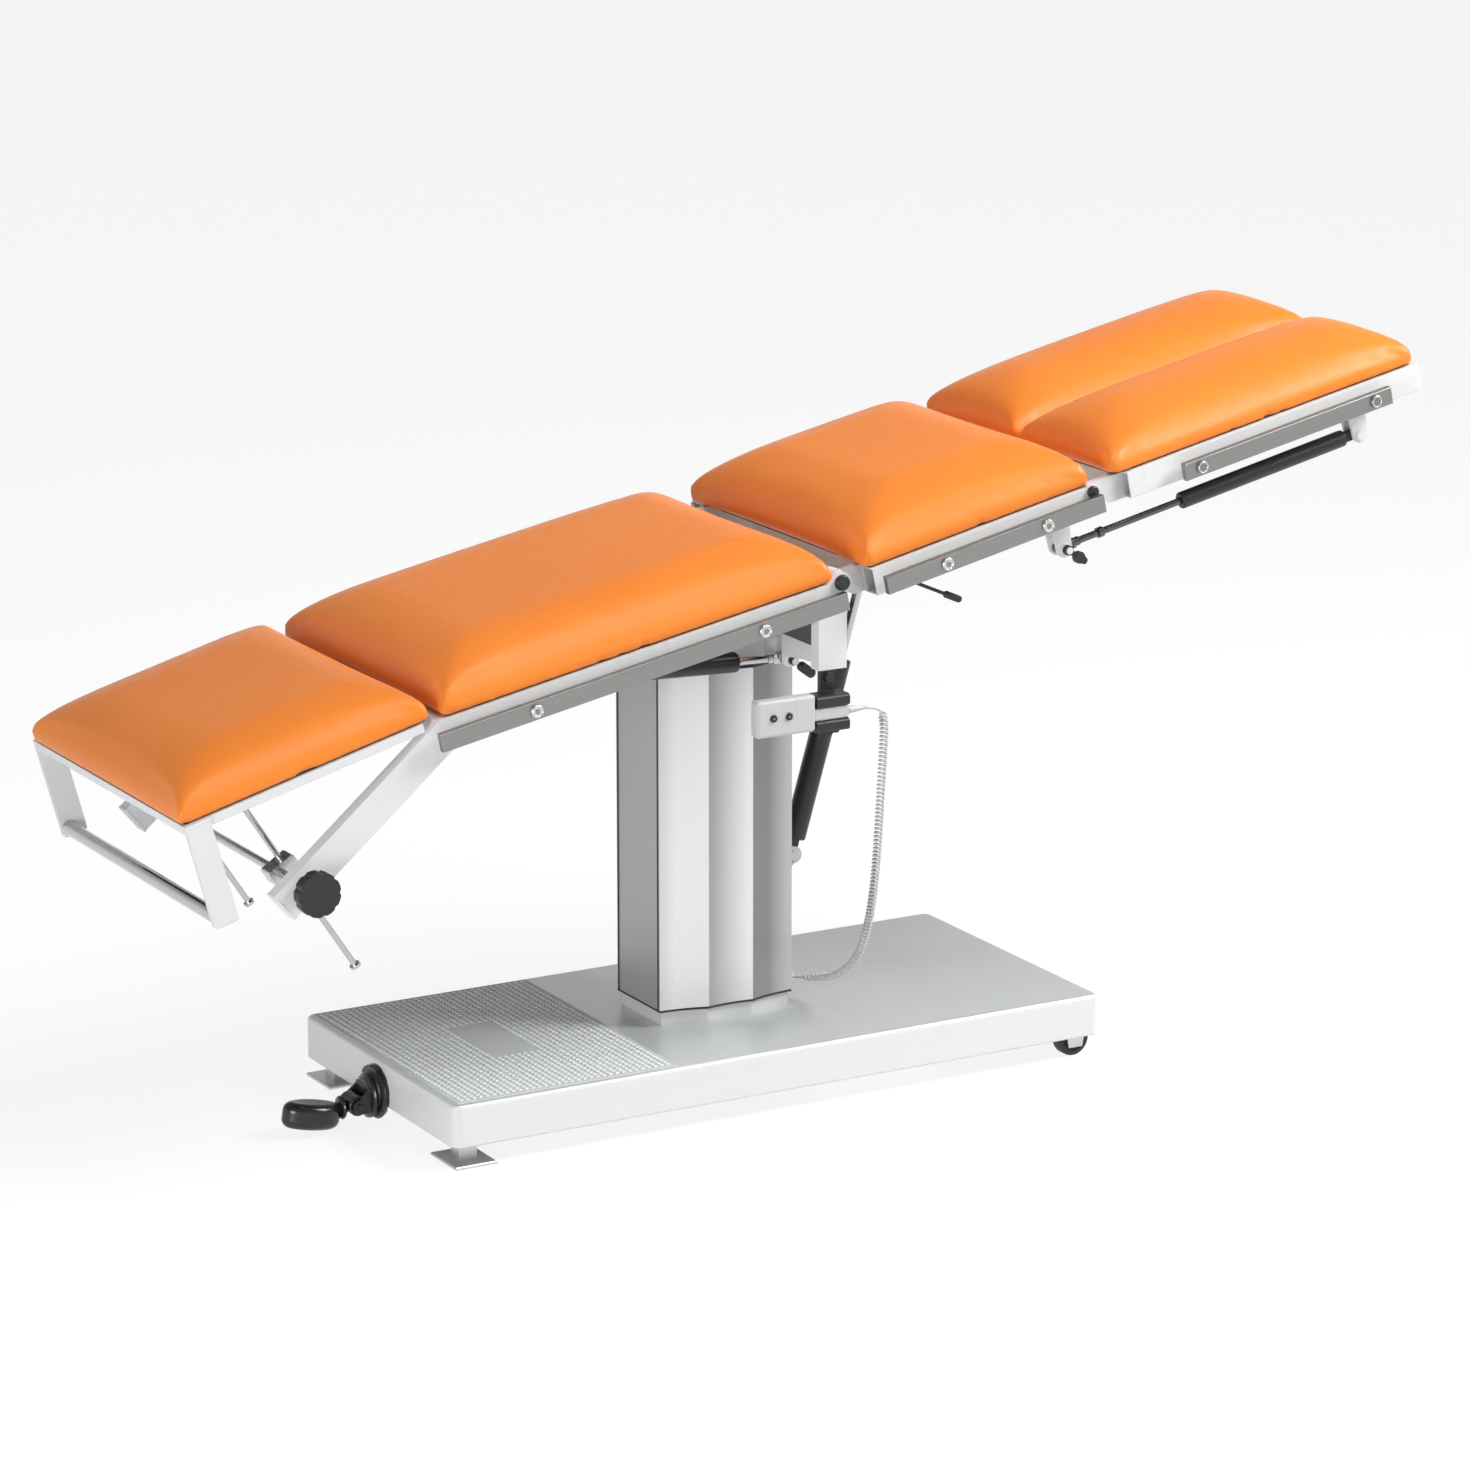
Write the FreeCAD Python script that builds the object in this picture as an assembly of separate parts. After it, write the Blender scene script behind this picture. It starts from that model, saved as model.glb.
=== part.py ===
import FreeCAD, Part
import math
import os

V = FreeCAD.Vector
Y_AXIS = V(0, 1, 0)

# Frame: x runs from the head end to the leg end, z is up from the floor, y = 0 is the middle plane.

# Base
base_length = 1018.0
base_width = 467.0
base_height = 59.0
base_wall = 3.0
base_edge_r = 6.0
base_corner_r = 14.0
floor_gap = 30.0
column_x = -60.0
mat_length = 335.0
mat_edge = 8.0
mat_thickness = 1.5
spindle_hole_r = 24.0

# Base frame, belly pan, feet and castors
frame_rail_w = 40.0
frame_rail_h = 25.0
frame_rail_inset = 83.5
frame_end_gap = 12.0
deck_t = 8.0
pan_start = 73.0
pan_length = 209.0
pan_inset = 23.5
pan_wall = 3.0
pan_drop = 4.0
foot_x = 32.0
foot_inset = 38.5
foot_plate_l = 62.0
foot_plate_w = 76.0
foot_plate_t = 4.0
foot_post = 26.0
foot_post_wall = 3.0
wheel_r = 25.0
wheel_w = 20.0
wheel_x = 35.0
wheel_inset = 21.5
axle_r = 4.0
running_gap = 0.1
end_play = 0.5
fork_wall = 3.0
fork_gap = 1.5
fork_foot = 11.0
fork_reach = 30.0

# Pedal
pedal_z = 46.0
rosette_r = 36.0
rosette_t = 22.0
rosette_ribs = 12
pedal_hub_r = 14.0
pedal_pin_drop = 13.0
pedal_pad_drop = 19.0
pedal_hub_l = 34.0
pedal_reach = 101.0
pedal_rise = 9.5
pedal_pad_l = 84.0
pedal_pad_w = 50.0
pedal_pad_t = 36.0
pedal_pad_edge = 12.0
pedal_clear = 1.0
pedal_pin_r = 5.0
pedal_ear_r = 10.0
pedal_ear_t = 5.0
pedal_neck_r = 9.0
rosette_notch_r = 3.2

# Column
shell_length = 210.0
shell_end_w = 124.0
shell_mid_w = 152.0
shell_facet = 70.0
shell_flute = 3.0
shell_wall = 3.0
shell_bottom = 112.0
shell_height = 476.0
gasket = 3.0
gasket_proud = 1.0
top_plate_t = 6.0
mast_length = 150.0
mast_width = 84.0
mast_wall = 5.0
mast_top = 570.0
deck_length = 190.0
plinth_inset = 4.0
plinth_gap = 1.5
guide_height = 70.0
guide_lift = 12.0
guide_width = 60.0
slide_gap = 0.3
spindle_r = 10.0
spindle_top = 556.0
nut_r = 17.0
nut_bottom = 200.0
motor_length = 150.0
motor_width = 92.0
motor_height = 40.0
motor_back = 40.0
gearbox_rim = 14.0

# Carrier and main pivot
pivot_x = 12.0
pivot_z = 738.5
pivot_drop = 4.0
beam_length = 26.0
beam_height = 32.0
beam_x = 16.0
beam_z = 656.0
upright_length = 44.0
upright_t = 20.0
upright_y = 236.0
upright_bottom = 616.0
upright_x = 7.0
pedestal_y = 56.0
pedestal_t = 12.0
gusset_t = 12.0
gusset_sag = 20.0
carrier_foot_t = 8.0
carrier_end_gap = 8.0
carrier_foot_inset = 35.0
carrier_cheek_inset = 65.0
main_pin_r = 10.0
cap_r = 11.0
cap_t = 6.0
upright_eye_r = 15.5
lug_t = 12.0
lane_gap = 1.0

# Sections, in the plane of each section: u along it, w square to it
back_angle = 11.0
seat_angle = 12.5
leg_angle = 12.3
head_angle = 15.2
half_width = 250.0
side_t = 28.0
side_h = 38.0
side_top = -2.0
tube_wall = 2.0
cross_w = 30.0
lug_r = 14.0
lug_sweep = 34.0
lug_fall = 22.0
lug_weld = 40.0
back_start = -615.0
back_end = -52.0
back_pivot_cross = -92.0
seat_start = 50.0
seat_end_gap = 41.0
seat_cross_inset = 25.0
inner_lug_y = 40.0
seat_span = 407.0
leg_start = 60.0
leg_end = 562.0
leg_drop = 10.0
leg_lug_r = 9.5
leg_pin_r = 5.0
leg_cap_r = 8.5
leg_gap = 6.0
rail_t = 10.0
rail_h = 25.0
rail_top = -12.0
rail_stand = 12.0
spacer_r = 8.0
screw_r = 9.0
screw_head = 4.0
screw_shank_r = 4.0
back_rail = (-626.0, -5.0)
back_screws = (-486.0, -137.0)
seat_rail_start = 57.0
seat_rail_over = 5.0
seat_screws = (152.0, 316.0)
leg_rail = (140.0, 495.0)
leg_screws = (167.0, 466.0)

# Pads
pad_clear = 0.3
board_t = 6.0
board_inset = 9.0
pad_lip = 11.0
back_pad = (-604.0, -16.5)
seat_pad_start = 53.0
seat_pad_over = 3.0
leg_pad = (38.0, 558.0)
head_pad = (-369.0, -1.0)
back_crown = 67.0
seat_crown = 69.0
leg_crown = 62.0
head_crown = 57.0
shoulder = 120.0
pad_profile = [(0.08, 0.27), (0.25, 0.56), (0.42, 0.76), (0.6, 0.9), (0.8, 0.98)]

# Head section
head_at = (-621.840, 4.305)
head_start = -366.0
head_end = -15.0
head_bar_w = 20.0
head_bar_h = 12.0
head_half_width = 247.0
bow_w = 35.0
bow_t = 8.0
bow_drop = 146.0
bow_tube_r = 10.0
bow_tube_rise = 3.0
bow_lap = 4.0
rod_block_out = 22.0
rod_block_in = 18.0
rod_block_w = 28.0
rod_block_h = 18.0
arm_top = (-627.128, -33.378)
arm_end = (-878.767, -174.964)
arm_h = 44.0
arm_t = 20.0
arm_cap = 4.0
arm_hinge_back = 40.0
arm_start = 26.0
shaft_r = 6.0
slide_rod_r = 4.0
slide_rod_y = 167.0
slide_angle = -56.8
slide_offset = 12.0
slide_below = 178.0
flange_r = 7.5
flange_t = 4.0
clamp_l = 26.0
clamp_h = 42.0
clamp_w = 24.0
knob_r = 30.0
knob_t = 16.0
knob_collar = 26.0
knob_lobes = 9
knob_groove_r = 6.0
knob_groove_out = 4.3
knob_rim = 2.0

# Gas springs and tilt cylinder: end pins in world x and z
back_spring_y = -98.0
back_spring_foot = (14.0, 602.0)
back_spring_head = (-338.0, -64.0)
back_barrel_r = 14.0
back_barrel_l = 222.0
back_rod_in = 173.4
spring_rod_r = 5.0
leg_spring_y = 225.0
leg_spring_foot = (356.0, -80.0)
leg_spring_head = (455.0, -77.0)
leg_barrel_r = 12.0
leg_barrel_l = 282.0
leg_rod_in = 34.2
leg_collar = 62.0
tilt_foot = (78.0, 290.0)
tilt_head = (190.0, -53.0)
tilt_barrel_r = 16.0
tilt_barrel_l = 262.0
tilt_rod_r = 7.0
tilt_rod_in = 61.5
eye_r = 9.0
eye_t = 12.0
link_pin_r = 4.0
cheek_t = 5.0
cheek_r = 11.0
ear_half = 12.0
lever_pin_r = 3.0
lever_gap = 0.3
lever_hub_l = 8.0
lever_wire_r = 2.5
lever_hub_r = 6.0
back_grip_r = 7.0
back_grip_l = 30.0
seat_grip_r = 5.0
back_lever_run = (20.0, -15.0)
seat_grip_l = 30.0
seat_lever_run = (76.0, -34.0)
seat_lever_at = (125.0, -53.0)
seat_lever_y = 200.0
lever_ear_t = 6.0
lever_ear_w = 14.0
lever_bar_l = 80.0
lever_bar_w = 12.0
spring_slot = 14.0
bracket_half = 30.0
bracket_low = 50.0
bracket_high = 40.0
paddle_reach = 21.0
paddle_tip = 9.0
paddle_hub_l = 6.0
paddle_r = 8.5
paddle_angle = 34.0
cheek_gap = 1.0
bolt_r = 8.0
bolt_t = 5.0
fitting_l = 22.0
open_gap = 0.5

# Handset and holder
handset_x = -81.5
handset_y = -256.0
handset_z = 567.0
handset_l = 91.0
handset_h = 51.0
handset_t = 20.0
neck_l = 54.0
neck_h = 17.5
neck_t = 14.0
neck_fall = 4.0
button_r = 5.0
button_travel = 1.5
button_space = 24.0
button_back = 8.5
button_lift = 1.0
clip_t = 16.0
clip_l = 51.0
clip_back = 33.0
clip_gap = 0.3
holder_t = 8.0
holder_w = 22.0

# Curly cord and gland
cord_r = 6.5
gland_y = -25.0
gland_rise = 6.0
gland_r = 10.0
gland_l = 14.0
gland_root = 8.0
cord_route = [
    (18.2, -256.0, 563.0),
    (66.0, -256.0, 563.0),
    (79.0, -253.0, 543.0),
    (80.0, -249.0, 500.0),
    (77.0, -246.0, 420.0),
    (78.0, -236.0, 335.0),
    (81.0, -216.0, 255.0),
    (86.0, -184.0, 196.0),
    (91.0, -142.0, 158.0),
    (92.0, -98.0, 134.0),
    (87.0, -59.0, 122.0),
]


# Basic solids

def box(x0, x1, y0, y1, z0, z1):
    return Part.makeBox(x1 - x0, y1 - y0, z1 - z0, V(x0, y0, z0))


def bar(a, b, r):
    """Round bar between two points."""
    run = b - a
    return Part.makeCylinder(r, run.Length, a, run)


def across(x, z, y0, y1, r):
    """Round bar along y."""
    return Part.makeCylinder(r, y1 - y0, V(x, y0, z), Y_AXIS)


def slab(points, y0, y1):
    """Flat outline in x and z, given a thickness along y."""
    wire = Part.makePolygon([V(x, y0, z) for x, z in points + points[:1]])
    return Part.Face(wire).extrude(V(0, y1 - y0, 0))


def oval_pad(half_length, half_width, thickness, edge):
    """Oval block with rounded rims, centred on the origin."""
    outline = Part.Ellipse(V(0, 0, 0), half_length, half_width).toShape()
    block = Part.Face(Part.Wire(outline)).extrude(V(0, 0, thickness))
    block.translate(V(0, 0, -thickness / 2))
    rims = [e for e in block.Edges if e.BoundBox.ZLength < 0.1]
    return block.makeFillet(edge, rims)


def join(*shapes):
    return shapes[0].multiFuse(list(shapes[1:])).removeSplitter()


def mirrored(shape):
    return shape.mirror(V(0, 0, 0), Y_AXIS)


def pair(shape):
    return [shape, mirrored(shape)]


def group(*shapes):
    flat = []
    for shape in shapes:
        flat += shape if isinstance(shape, list) else [shape]
    return Part.makeCompound(flat)


def lean(shape, place):
    """Lift a section's shape above its pivot, turn it up by its angle and move it there."""
    angle, x, z, drop = place
    placed = shape.copy()
    placed.translate(V(0, 0, drop))
    placed.rotate(V(0, 0, 0), Y_AXIS, -angle)
    placed.translate(V(x, 0, z))
    return placed


def point(place, u, w):
    """World x and z of a point u, w of a section."""
    angle, x, z, drop = place
    a = math.radians(angle)
    w = w + drop
    return (x + u * math.cos(a) - w * math.sin(a), z + u * math.sin(a) + w * math.cos(a))


# Places worked out from the sizes
back_place = (back_angle, pivot_x, pivot_z, pivot_drop)
seat_place = (seat_angle, pivot_x, pivot_z, pivot_drop)
seat_end = seat_span - seat_end_gap
seat_pad = (seat_pad_start, seat_span + seat_pad_over)
seat_rail = (seat_rail_start, seat_span + seat_rail_over)
leg_x, leg_z = point(seat_place, seat_span, -leg_drop)
leg_place = (leg_angle, leg_x, leg_z, leg_drop)
head_x, head_z = point(back_place, *head_at)
head_place = (head_angle, head_x, head_z, 0.0)
arm_top_x, arm_top_z = point(back_place, *arm_top)
arm_end_x, arm_end_z = point(back_place, *arm_end)
base_left = column_x - base_length / 2
base_right = column_x + base_length / 2
base_top = floor_gap + base_height
shell_top = shell_bottom + shell_height
frame_rail_y = base_width / 2 - frame_rail_inset
foot_y = base_width / 2 - foot_inset
wheel_y = base_width / 2 - wheel_inset
gland_z = shell_bottom + gland_rise
lane_a = half_width - lug_t
lane_b = lane_a - lane_gap
lane_c = upright_y - upright_t - lane_gap
side_inner = half_width - side_t
side_low = side_top - side_h
rail_in = half_width + rail_stand
rail_out = rail_in + rail_t
parts = {}


# Base

def base_cover():
    outer = box(base_left, base_right, -base_width / 2, base_width / 2, floor_gap, base_top)
    uprights = [e for e in outer.Edges if abs(e.tangentAt(e.FirstParameter).z) > 0.9]
    outer = outer.makeFillet(base_corner_r, uprights)
    rim = [e for e in outer.Edges if e.BoundBox.ZMin > base_top - 0.1]
    outer = outer.makeFillet(base_edge_r, rim)
    w = base_wall
    inner = box(base_left + w, base_right - w, -base_width / 2 + w, base_width / 2 - w,
                floor_gap - 1, base_top - w)
    corners = [e for e in inner.Edges if abs(e.tangentAt(e.FirstParameter).z) > 0.9]
    inner = inner.makeFillet(base_corner_r - w, corners)
    hole = Part.makeCylinder(spindle_hole_r, 2 * w, V(column_x, 0, base_top - 1.5 * w))
    return outer.cut(inner).cut(hole)


def tread_mat():
    y = base_width / 2 - mat_edge
    return box(base_left + mat_edge, base_left + mat_edge + mat_length, -y, y,
               base_top, base_top + mat_thickness)


def belly_pan():
    x0, x1 = column_x + pan_start, column_x + pan_start + pan_length
    z0, z1 = floor_gap - pan_drop, base_top - base_wall - frame_rail_h
    y = base_width / 2 - pan_inset
    shell = box(x0, x1, -y, y, z0, z1)
    hollow = box(x0 + pan_wall, x1 - pan_wall, -y + pan_wall, y - pan_wall, z0 + pan_wall, z1 + 1)
    return shell.cut(hollow)


def base_frame():
    top = base_top - base_wall
    low = top - frame_rail_h
    x0, x1 = base_left + frame_end_gap, base_right - frame_end_gap
    half = frame_rail_w / 2
    rails = [box(x0, x1, y - half, y + half, low, top) for y in (-frame_rail_y, frame_rail_y)]
    y_end = base_width / 2 - frame_end_gap
    foot_at = base_left + foot_x
    wheel_at = base_right - wheel_x
    ends = [box(foot_at - half, foot_at + half, -y_end, y_end, low, top)]
    cross_at = wheel_at - wheel_r - fork_reach
    ends.append(box(cross_at - half, cross_at + half, -y_end, y_end, low, top))
    deck = box(column_x - deck_length / 2, column_x + deck_length / 2,
               -frame_rail_y, frame_rail_y, top - deck_t, top)
    hole = Part.makeCylinder(spindle_hole_r, deck_t + 2, V(column_x, 0, top - deck_t - 1))
    return join(*rails, *ends, deck, belly_pan()).cut(hole)


def foot_plates():
    x = base_left + foot_x
    top = base_top - base_wall - frame_rail_h
    half = foot_post / 2
    plate = box(x - foot_plate_l / 2, x + foot_plate_l / 2,
                -foot_y - foot_plate_w / 2, -foot_y + foot_plate_w / 2, 0, foot_plate_t)
    edges = [e for e in plate.Edges if e.BoundBox.ZMin > foot_plate_t - 0.1]
    plate = plate.makeChamfer(1.5, edges)
    post = box(x - half, x + half, -foot_y - half, -foot_y + half, foot_plate_t, top)
    inner = half - foot_post_wall
    post = post.cut(box(x - inner, x + inner, -foot_y - inner, -foot_y + inner, foot_plate_t + 2, top + 1))
    return group(pair(join(plate, post)))


def castor_brackets():
    """Inverted forks under the frame's ends, each with its axle."""
    x = base_right - wheel_x
    top = base_top - base_wall
    inner = wheel_w / 2 + fork_gap
    outer = inner + fork_wall
    cross_at = x - wheel_r - fork_reach
    roof = box(cross_at, x + wheel_r, -wheel_y - outer, -wheel_y + outer, top - fork_wall, top)
    cheek = [(x - fork_foot, wheel_r - fork_foot), (x + fork_foot, wheel_r - fork_foot),
             (x + wheel_r, top - fork_wall), (x - wheel_r, top - fork_wall)]
    sides = [slab(cheek, -wheel_y + s * inner, -wheel_y + s * outer) for s in (1, -1)]
    axle = across(x, wheel_r, -wheel_y - outer, -wheel_y + outer, axle_r)
    frame = box(cross_at - frame_rail_w / 2, cross_at + frame_rail_w / 2, -base_width / 2, 0, 0, top)
    return group(pair(join(roof, *sides, axle).cut(frame)))


def castor_wheel():
    """Solid tyre with a hub, rounded on its tread."""
    x = base_right - wheel_x
    half = wheel_w / 2
    disc = across(x, wheel_r, -wheel_y - half, -wheel_y + half, wheel_r)
    disc = disc.makeFillet(4, [e for e in disc.Edges if e.Length > 2 * wheel_r * 3])
    for s in (1, -1):
        dish = across(x, wheel_r, -2, 2, wheel_r - 8)
        dish.translate(V(0, -wheel_y + s * half, 0))
        hub = across(x, wheel_r, -3, 3, 8)
        hub.translate(V(0, -wheel_y + s * (half - 3), 0))
        disc = disc.cut(dish).fuse(hub)
    return disc.cut(across(x, wheel_r, -wheel_y - half - 1, -wheel_y + half + 1, axle_r + running_gap))


# Pedal

def pedal_rosette():
    """Round ribbed boss on the head-end face, with ears for the pedal's pin."""
    x = base_left
    disc = Part.makeCylinder(rosette_r, rosette_t * 0.45, V(x, 0, pedal_z), V(-1, 0, 0))
    cone = Part.makeCone(rosette_r * 0.8, rosette_r * 0.55, rosette_t * 0.55,
                         V(x - rosette_t * 0.45, 0, pedal_z), V(-1, 0, 0))
    body = join(disc, cone)
    for i in range(rosette_ribs):
        a = 2 * math.pi * i / rosette_ribs
        notch = bar(V(x + 1, rosette_r * 1.02 * math.cos(a), pedal_z + rosette_r * 1.02 * math.sin(a)),
                    V(x - rosette_t, rosette_r * 1.02 * math.cos(a), pedal_z + rosette_r * 1.02 * math.sin(a)),
                    rosette_notch_r)
        body = body.cut(notch)
    x_pin = x - rosette_t - pedal_hub_r - pedal_clear
    z_pin = pedal_z - pedal_pin_drop
    ear_y = pedal_hub_l / 2 + pedal_clear
    ears = []
    for s in (1, -1):
        ear = join(slab([(x - rosette_t + 4, z_pin - pedal_ear_r), (x_pin, z_pin - pedal_ear_r),
                         (x_pin, z_pin + pedal_ear_r), (x - rosette_t + 4, pedal_z + pedal_ear_r + 2)],
                        0, pedal_ear_t),
                   across(x_pin, z_pin, 0, pedal_ear_t, pedal_ear_r))
        ear.translate(V(0, ear_y if s > 0 else -ear_y - pedal_ear_t, 0))
        ears.append(ear)
    reach = ear_y + pedal_ear_t
    web = box(x - rosette_t - 0.5, x - rosette_t + 6, -reach, reach, z_pin - pedal_ear_r,
              pedal_z + pedal_ear_r + 2)
    pin = across(x_pin, z_pin, -reach - 3, reach + 3, pedal_pin_r)
    return join(body, web, *ears, pin).cut(box(x, x + rosette_t, -2 * rosette_r, 2 * rosette_r, 0, 2 * base_top))


def foot_pedal():
    """Hub on the pin, a neck and a fat oval pad."""
    x = base_left - rosette_t - pedal_hub_r - pedal_clear
    half = pedal_hub_l / 2
    z = pedal_z - pedal_pin_drop
    hub = across(x, z, -half, half, pedal_hub_r)
    hub = hub.makeFillet(2, [e for e in hub.Edges if e.Length > 2 * pedal_hub_r * 3])
    pad_x = base_left - pedal_reach
    pad_z = pedal_z - pedal_pad_drop
    pad = oval_pad(pedal_pad_l / 2, pedal_pad_w / 2, pedal_pad_t, pedal_pad_edge)
    pad.rotate(V(0, 0, 0), Y_AXIS, pedal_rise)
    pad.translate(V(pad_x, 0, pad_z))
    neck = bar(V(x, 0, z), V(pad_x + pedal_pad_l * 0.25, 0, pad_z - 2), pedal_neck_r)
    bore = across(x, z, -half - 1, half + 1, pedal_pin_r + running_gap)
    return join(hub, neck, pad).cut(bore)


# Column

def shell_outline(inset, flute):
    """Corner points of the column's section: flat ends and three facets a side."""
    x0, x1 = shell_length / 2 - inset, shell_facet / 2
    y0, y1 = shell_end_w / 2 - inset, shell_mid_w / 2 - inset
    near = [V(-x0, -y0), V(-x1, -y1), V(x1, -y1), V(x0, -y0)]
    edges = []
    for a, b in zip(near, near[1:]):
        middle = (a + b) / 2 + V(0, flute, 0)
        edges.append(Part.Arc(a, middle, b).toShape() if flute else Part.LineSegment(a, b).toShape())
    return near, edges


def side_panel():
    """Near side: three shallow flutes in a wall of even thickness."""
    near, outer = shell_outline(0.0, shell_flute)
    shift = V(0, shell_wall, 0)
    inner = []
    for a, b in zip(near, near[1:]):
        inner.append(Part.Arc(a + shift, (a + b) / 2 + shift + V(0, shell_flute, 0), b + shift).toShape())
    ends = [Part.LineSegment(near[0], near[0] + shift).toShape(),
            Part.LineSegment(near[-1], near[-1] + shift).toShape()]
    face = Part.Face(Part.Wire(Part.__sortEdges__(outer + inner + ends)))
    solid = face.extrude(V(0, 0, shell_height))
    solid.translate(V(column_x, 0, shell_bottom))
    return solid


def end_panels():
    y = shell_end_w / 2 - shell_wall - gasket
    x = shell_length / 2
    left = box(-x, -x + shell_wall, -y, y, shell_bottom, shell_top)
    left.translate(V(column_x, 0, 0))
    right = box(x - shell_wall, x, -y, y, shell_bottom, shell_top)
    right.translate(V(column_x, 0, 0))
    return group(left, right)


def ring_face(inset):
    near, edges = shell_outline(inset, shell_flute)
    far = [V(p.x, -p.y, 0) for p in near]
    for a, b in zip(far, far[1:]):
        edges.append(Part.Arc(a, (a + b) / 2 - V(0, shell_flute, 0), b).toShape())
    edges += [Part.LineSegment(near[0], far[0]).toShape(), Part.LineSegment(near[-1], far[-1]).toShape()]
    return Part.Face(Part.Wire(Part.__sortEdges__(edges)))


def panel_gaskets():
    """Black strips beside the end panels and a rim under the shell."""
    rim = ring_face(0.0).cut(ring_face(shell_wall + 1.0)).extrude(V(0, 0, gasket))
    rim.translate(V(column_x, 0, shell_bottom - gasket))
    x, y = shell_length / 2, shell_end_w / 2 - shell_wall
    strips = []
    for s in (1, -1):
        a, b = sorted((s * (x + gasket_proud), s * (x - shell_wall)))
        strips.append(box(column_x + a, column_x + b, -y, -y + gasket, shell_bottom, shell_top))
    return group(rim, [p for strip in strips for p in pair(strip)])


def top_plate():
    plate = ring_face(1.0).extrude(V(0, 0, top_plate_t))
    plate.translate(V(column_x, 0, shell_top))
    nut = Part.makeCylinder(nut_r, shell_top - nut_bottom + 1, V(column_x, 0, nut_bottom))
    bore = Part.makeCylinder(spindle_r + slide_gap, spindle_top + 10 - nut_bottom, V(column_x, 0, nut_bottom - 1))
    return join(plate, nut).cut(bore)


def slide_guides():
    """Plastic pads between the shell's foot and the mast."""
    z0 = shell_bottom + guide_lift
    z1 = z0 + guide_height
    half = guide_width / 2
    x_in = mast_length / 2 + slide_gap
    x_out = shell_length / 2 - shell_wall
    y_in = mast_width / 2 + slide_gap
    y_out = shell_mid_w / 2 - shell_wall - shell_flute - slide_gap
    pads = [box(column_x + x_in, column_x + x_out, -half, half, z0, z1),
            box(column_x - x_out, column_x - x_in, -half, half, z0, z1),
            box(column_x - half, column_x + half, -y_out, -y_in, z0, z1),
            box(column_x - half, column_x + half, y_in, y_out, z0, z1)]
    return group(pads)


def inner_mast():
    """Fixed tube on a plinth that follows the shell's outline just inside its rim."""
    z = base_top
    top = shell_bottom - gasket - plinth_gap
    plinth = ring_face(plinth_inset).extrude(V(0, 0, top - z))
    plinth.translate(V(0, 0, z))
    tube = box(-mast_length / 2, mast_length / 2, -mast_width / 2, mast_width / 2, top - 1, mast_top)
    core = box(-mast_length / 2 + mast_wall, mast_length / 2 - mast_wall,
               -mast_width / 2 + mast_wall, mast_width / 2 - mast_wall, top, mast_top + 1)
    hole = Part.makeCylinder(spindle_hole_r, top - z + 2, V(0, 0, z - 1))
    mast = join(plinth, tube).cut(core).cut(hole)
    mast.translate(V(column_x, 0, 0))
    return mast


def lift_actuator():
    """Gear motor under the deck with the upright spindle."""
    top = base_top - base_wall - deck_t
    motor = box(column_x - motor_length / 2, column_x + motor_length / 2 - motor_back,
                -motor_width / 2, motor_width / 2, top - motor_height, top)
    motor = motor.makeFillet(5, motor.Edges)
    gearbox = Part.makeCylinder(spindle_hole_r + gearbox_rim, motor_height - 4, V(column_x, 0, top - motor_height + 2))
    neck = Part.makeCylinder(spindle_hole_r - 4, 20, V(column_x, 0, top - 4))
    spindle = Part.makeCylinder(spindle_r, spindle_top - top, V(column_x, 0, top))
    return join(motor, gearbox, neck, spindle)


# Carrier

def arched_gusset():
    """Curved web from the top plate out to an upright."""
    x0 = beam_x - beam_length / 2
    y0, y1 = -pedestal_y + 1, -(upright_y - upright_t) - 2
    z0, z1 = shell_top + top_plate_t, beam_z - beam_height / 2 + 2
    low = upright_bottom
    a, b = V(x0, y0, z0), V(x0, y1, low)
    middle = V(x0, (y0 + y1) / 2 - gusset_sag, low - 2)
    edges = [Part.Arc(a, middle, b).toShape(), Part.LineSegment(b, V(x0, y1, z1)).toShape(),
             Part.LineSegment(V(x0, y1, z1), V(x0, y0, z1)).toShape(),
             Part.LineSegment(V(x0, y0, z1), a).toShape()]
    return Part.Face(Part.Wire(edges)).extrude(V(gusset_t, 0, 0))


def upright():
    half = upright_length / 2
    inner, outer = upright_y - upright_t, upright_y
    post = box(upright_x - half, upright_x + half, -outer, -inner, upright_bottom, pivot_z - half / 2)
    neck = slab([(upright_x - half, pivot_z - half / 2 - 1), (upright_x + half, pivot_z - half / 2 - 1),
                 (pivot_x + upright_eye_r, pivot_z), (pivot_x - upright_eye_r, pivot_z)], -outer, -inner)
    eye = across(pivot_x, pivot_z, -outer, -inner, upright_eye_r)
    bore = across(pivot_x, pivot_z, -outer - 1, -inner + 1, main_pin_r)
    return join(post, neck, eye).cut(bore)


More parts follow.
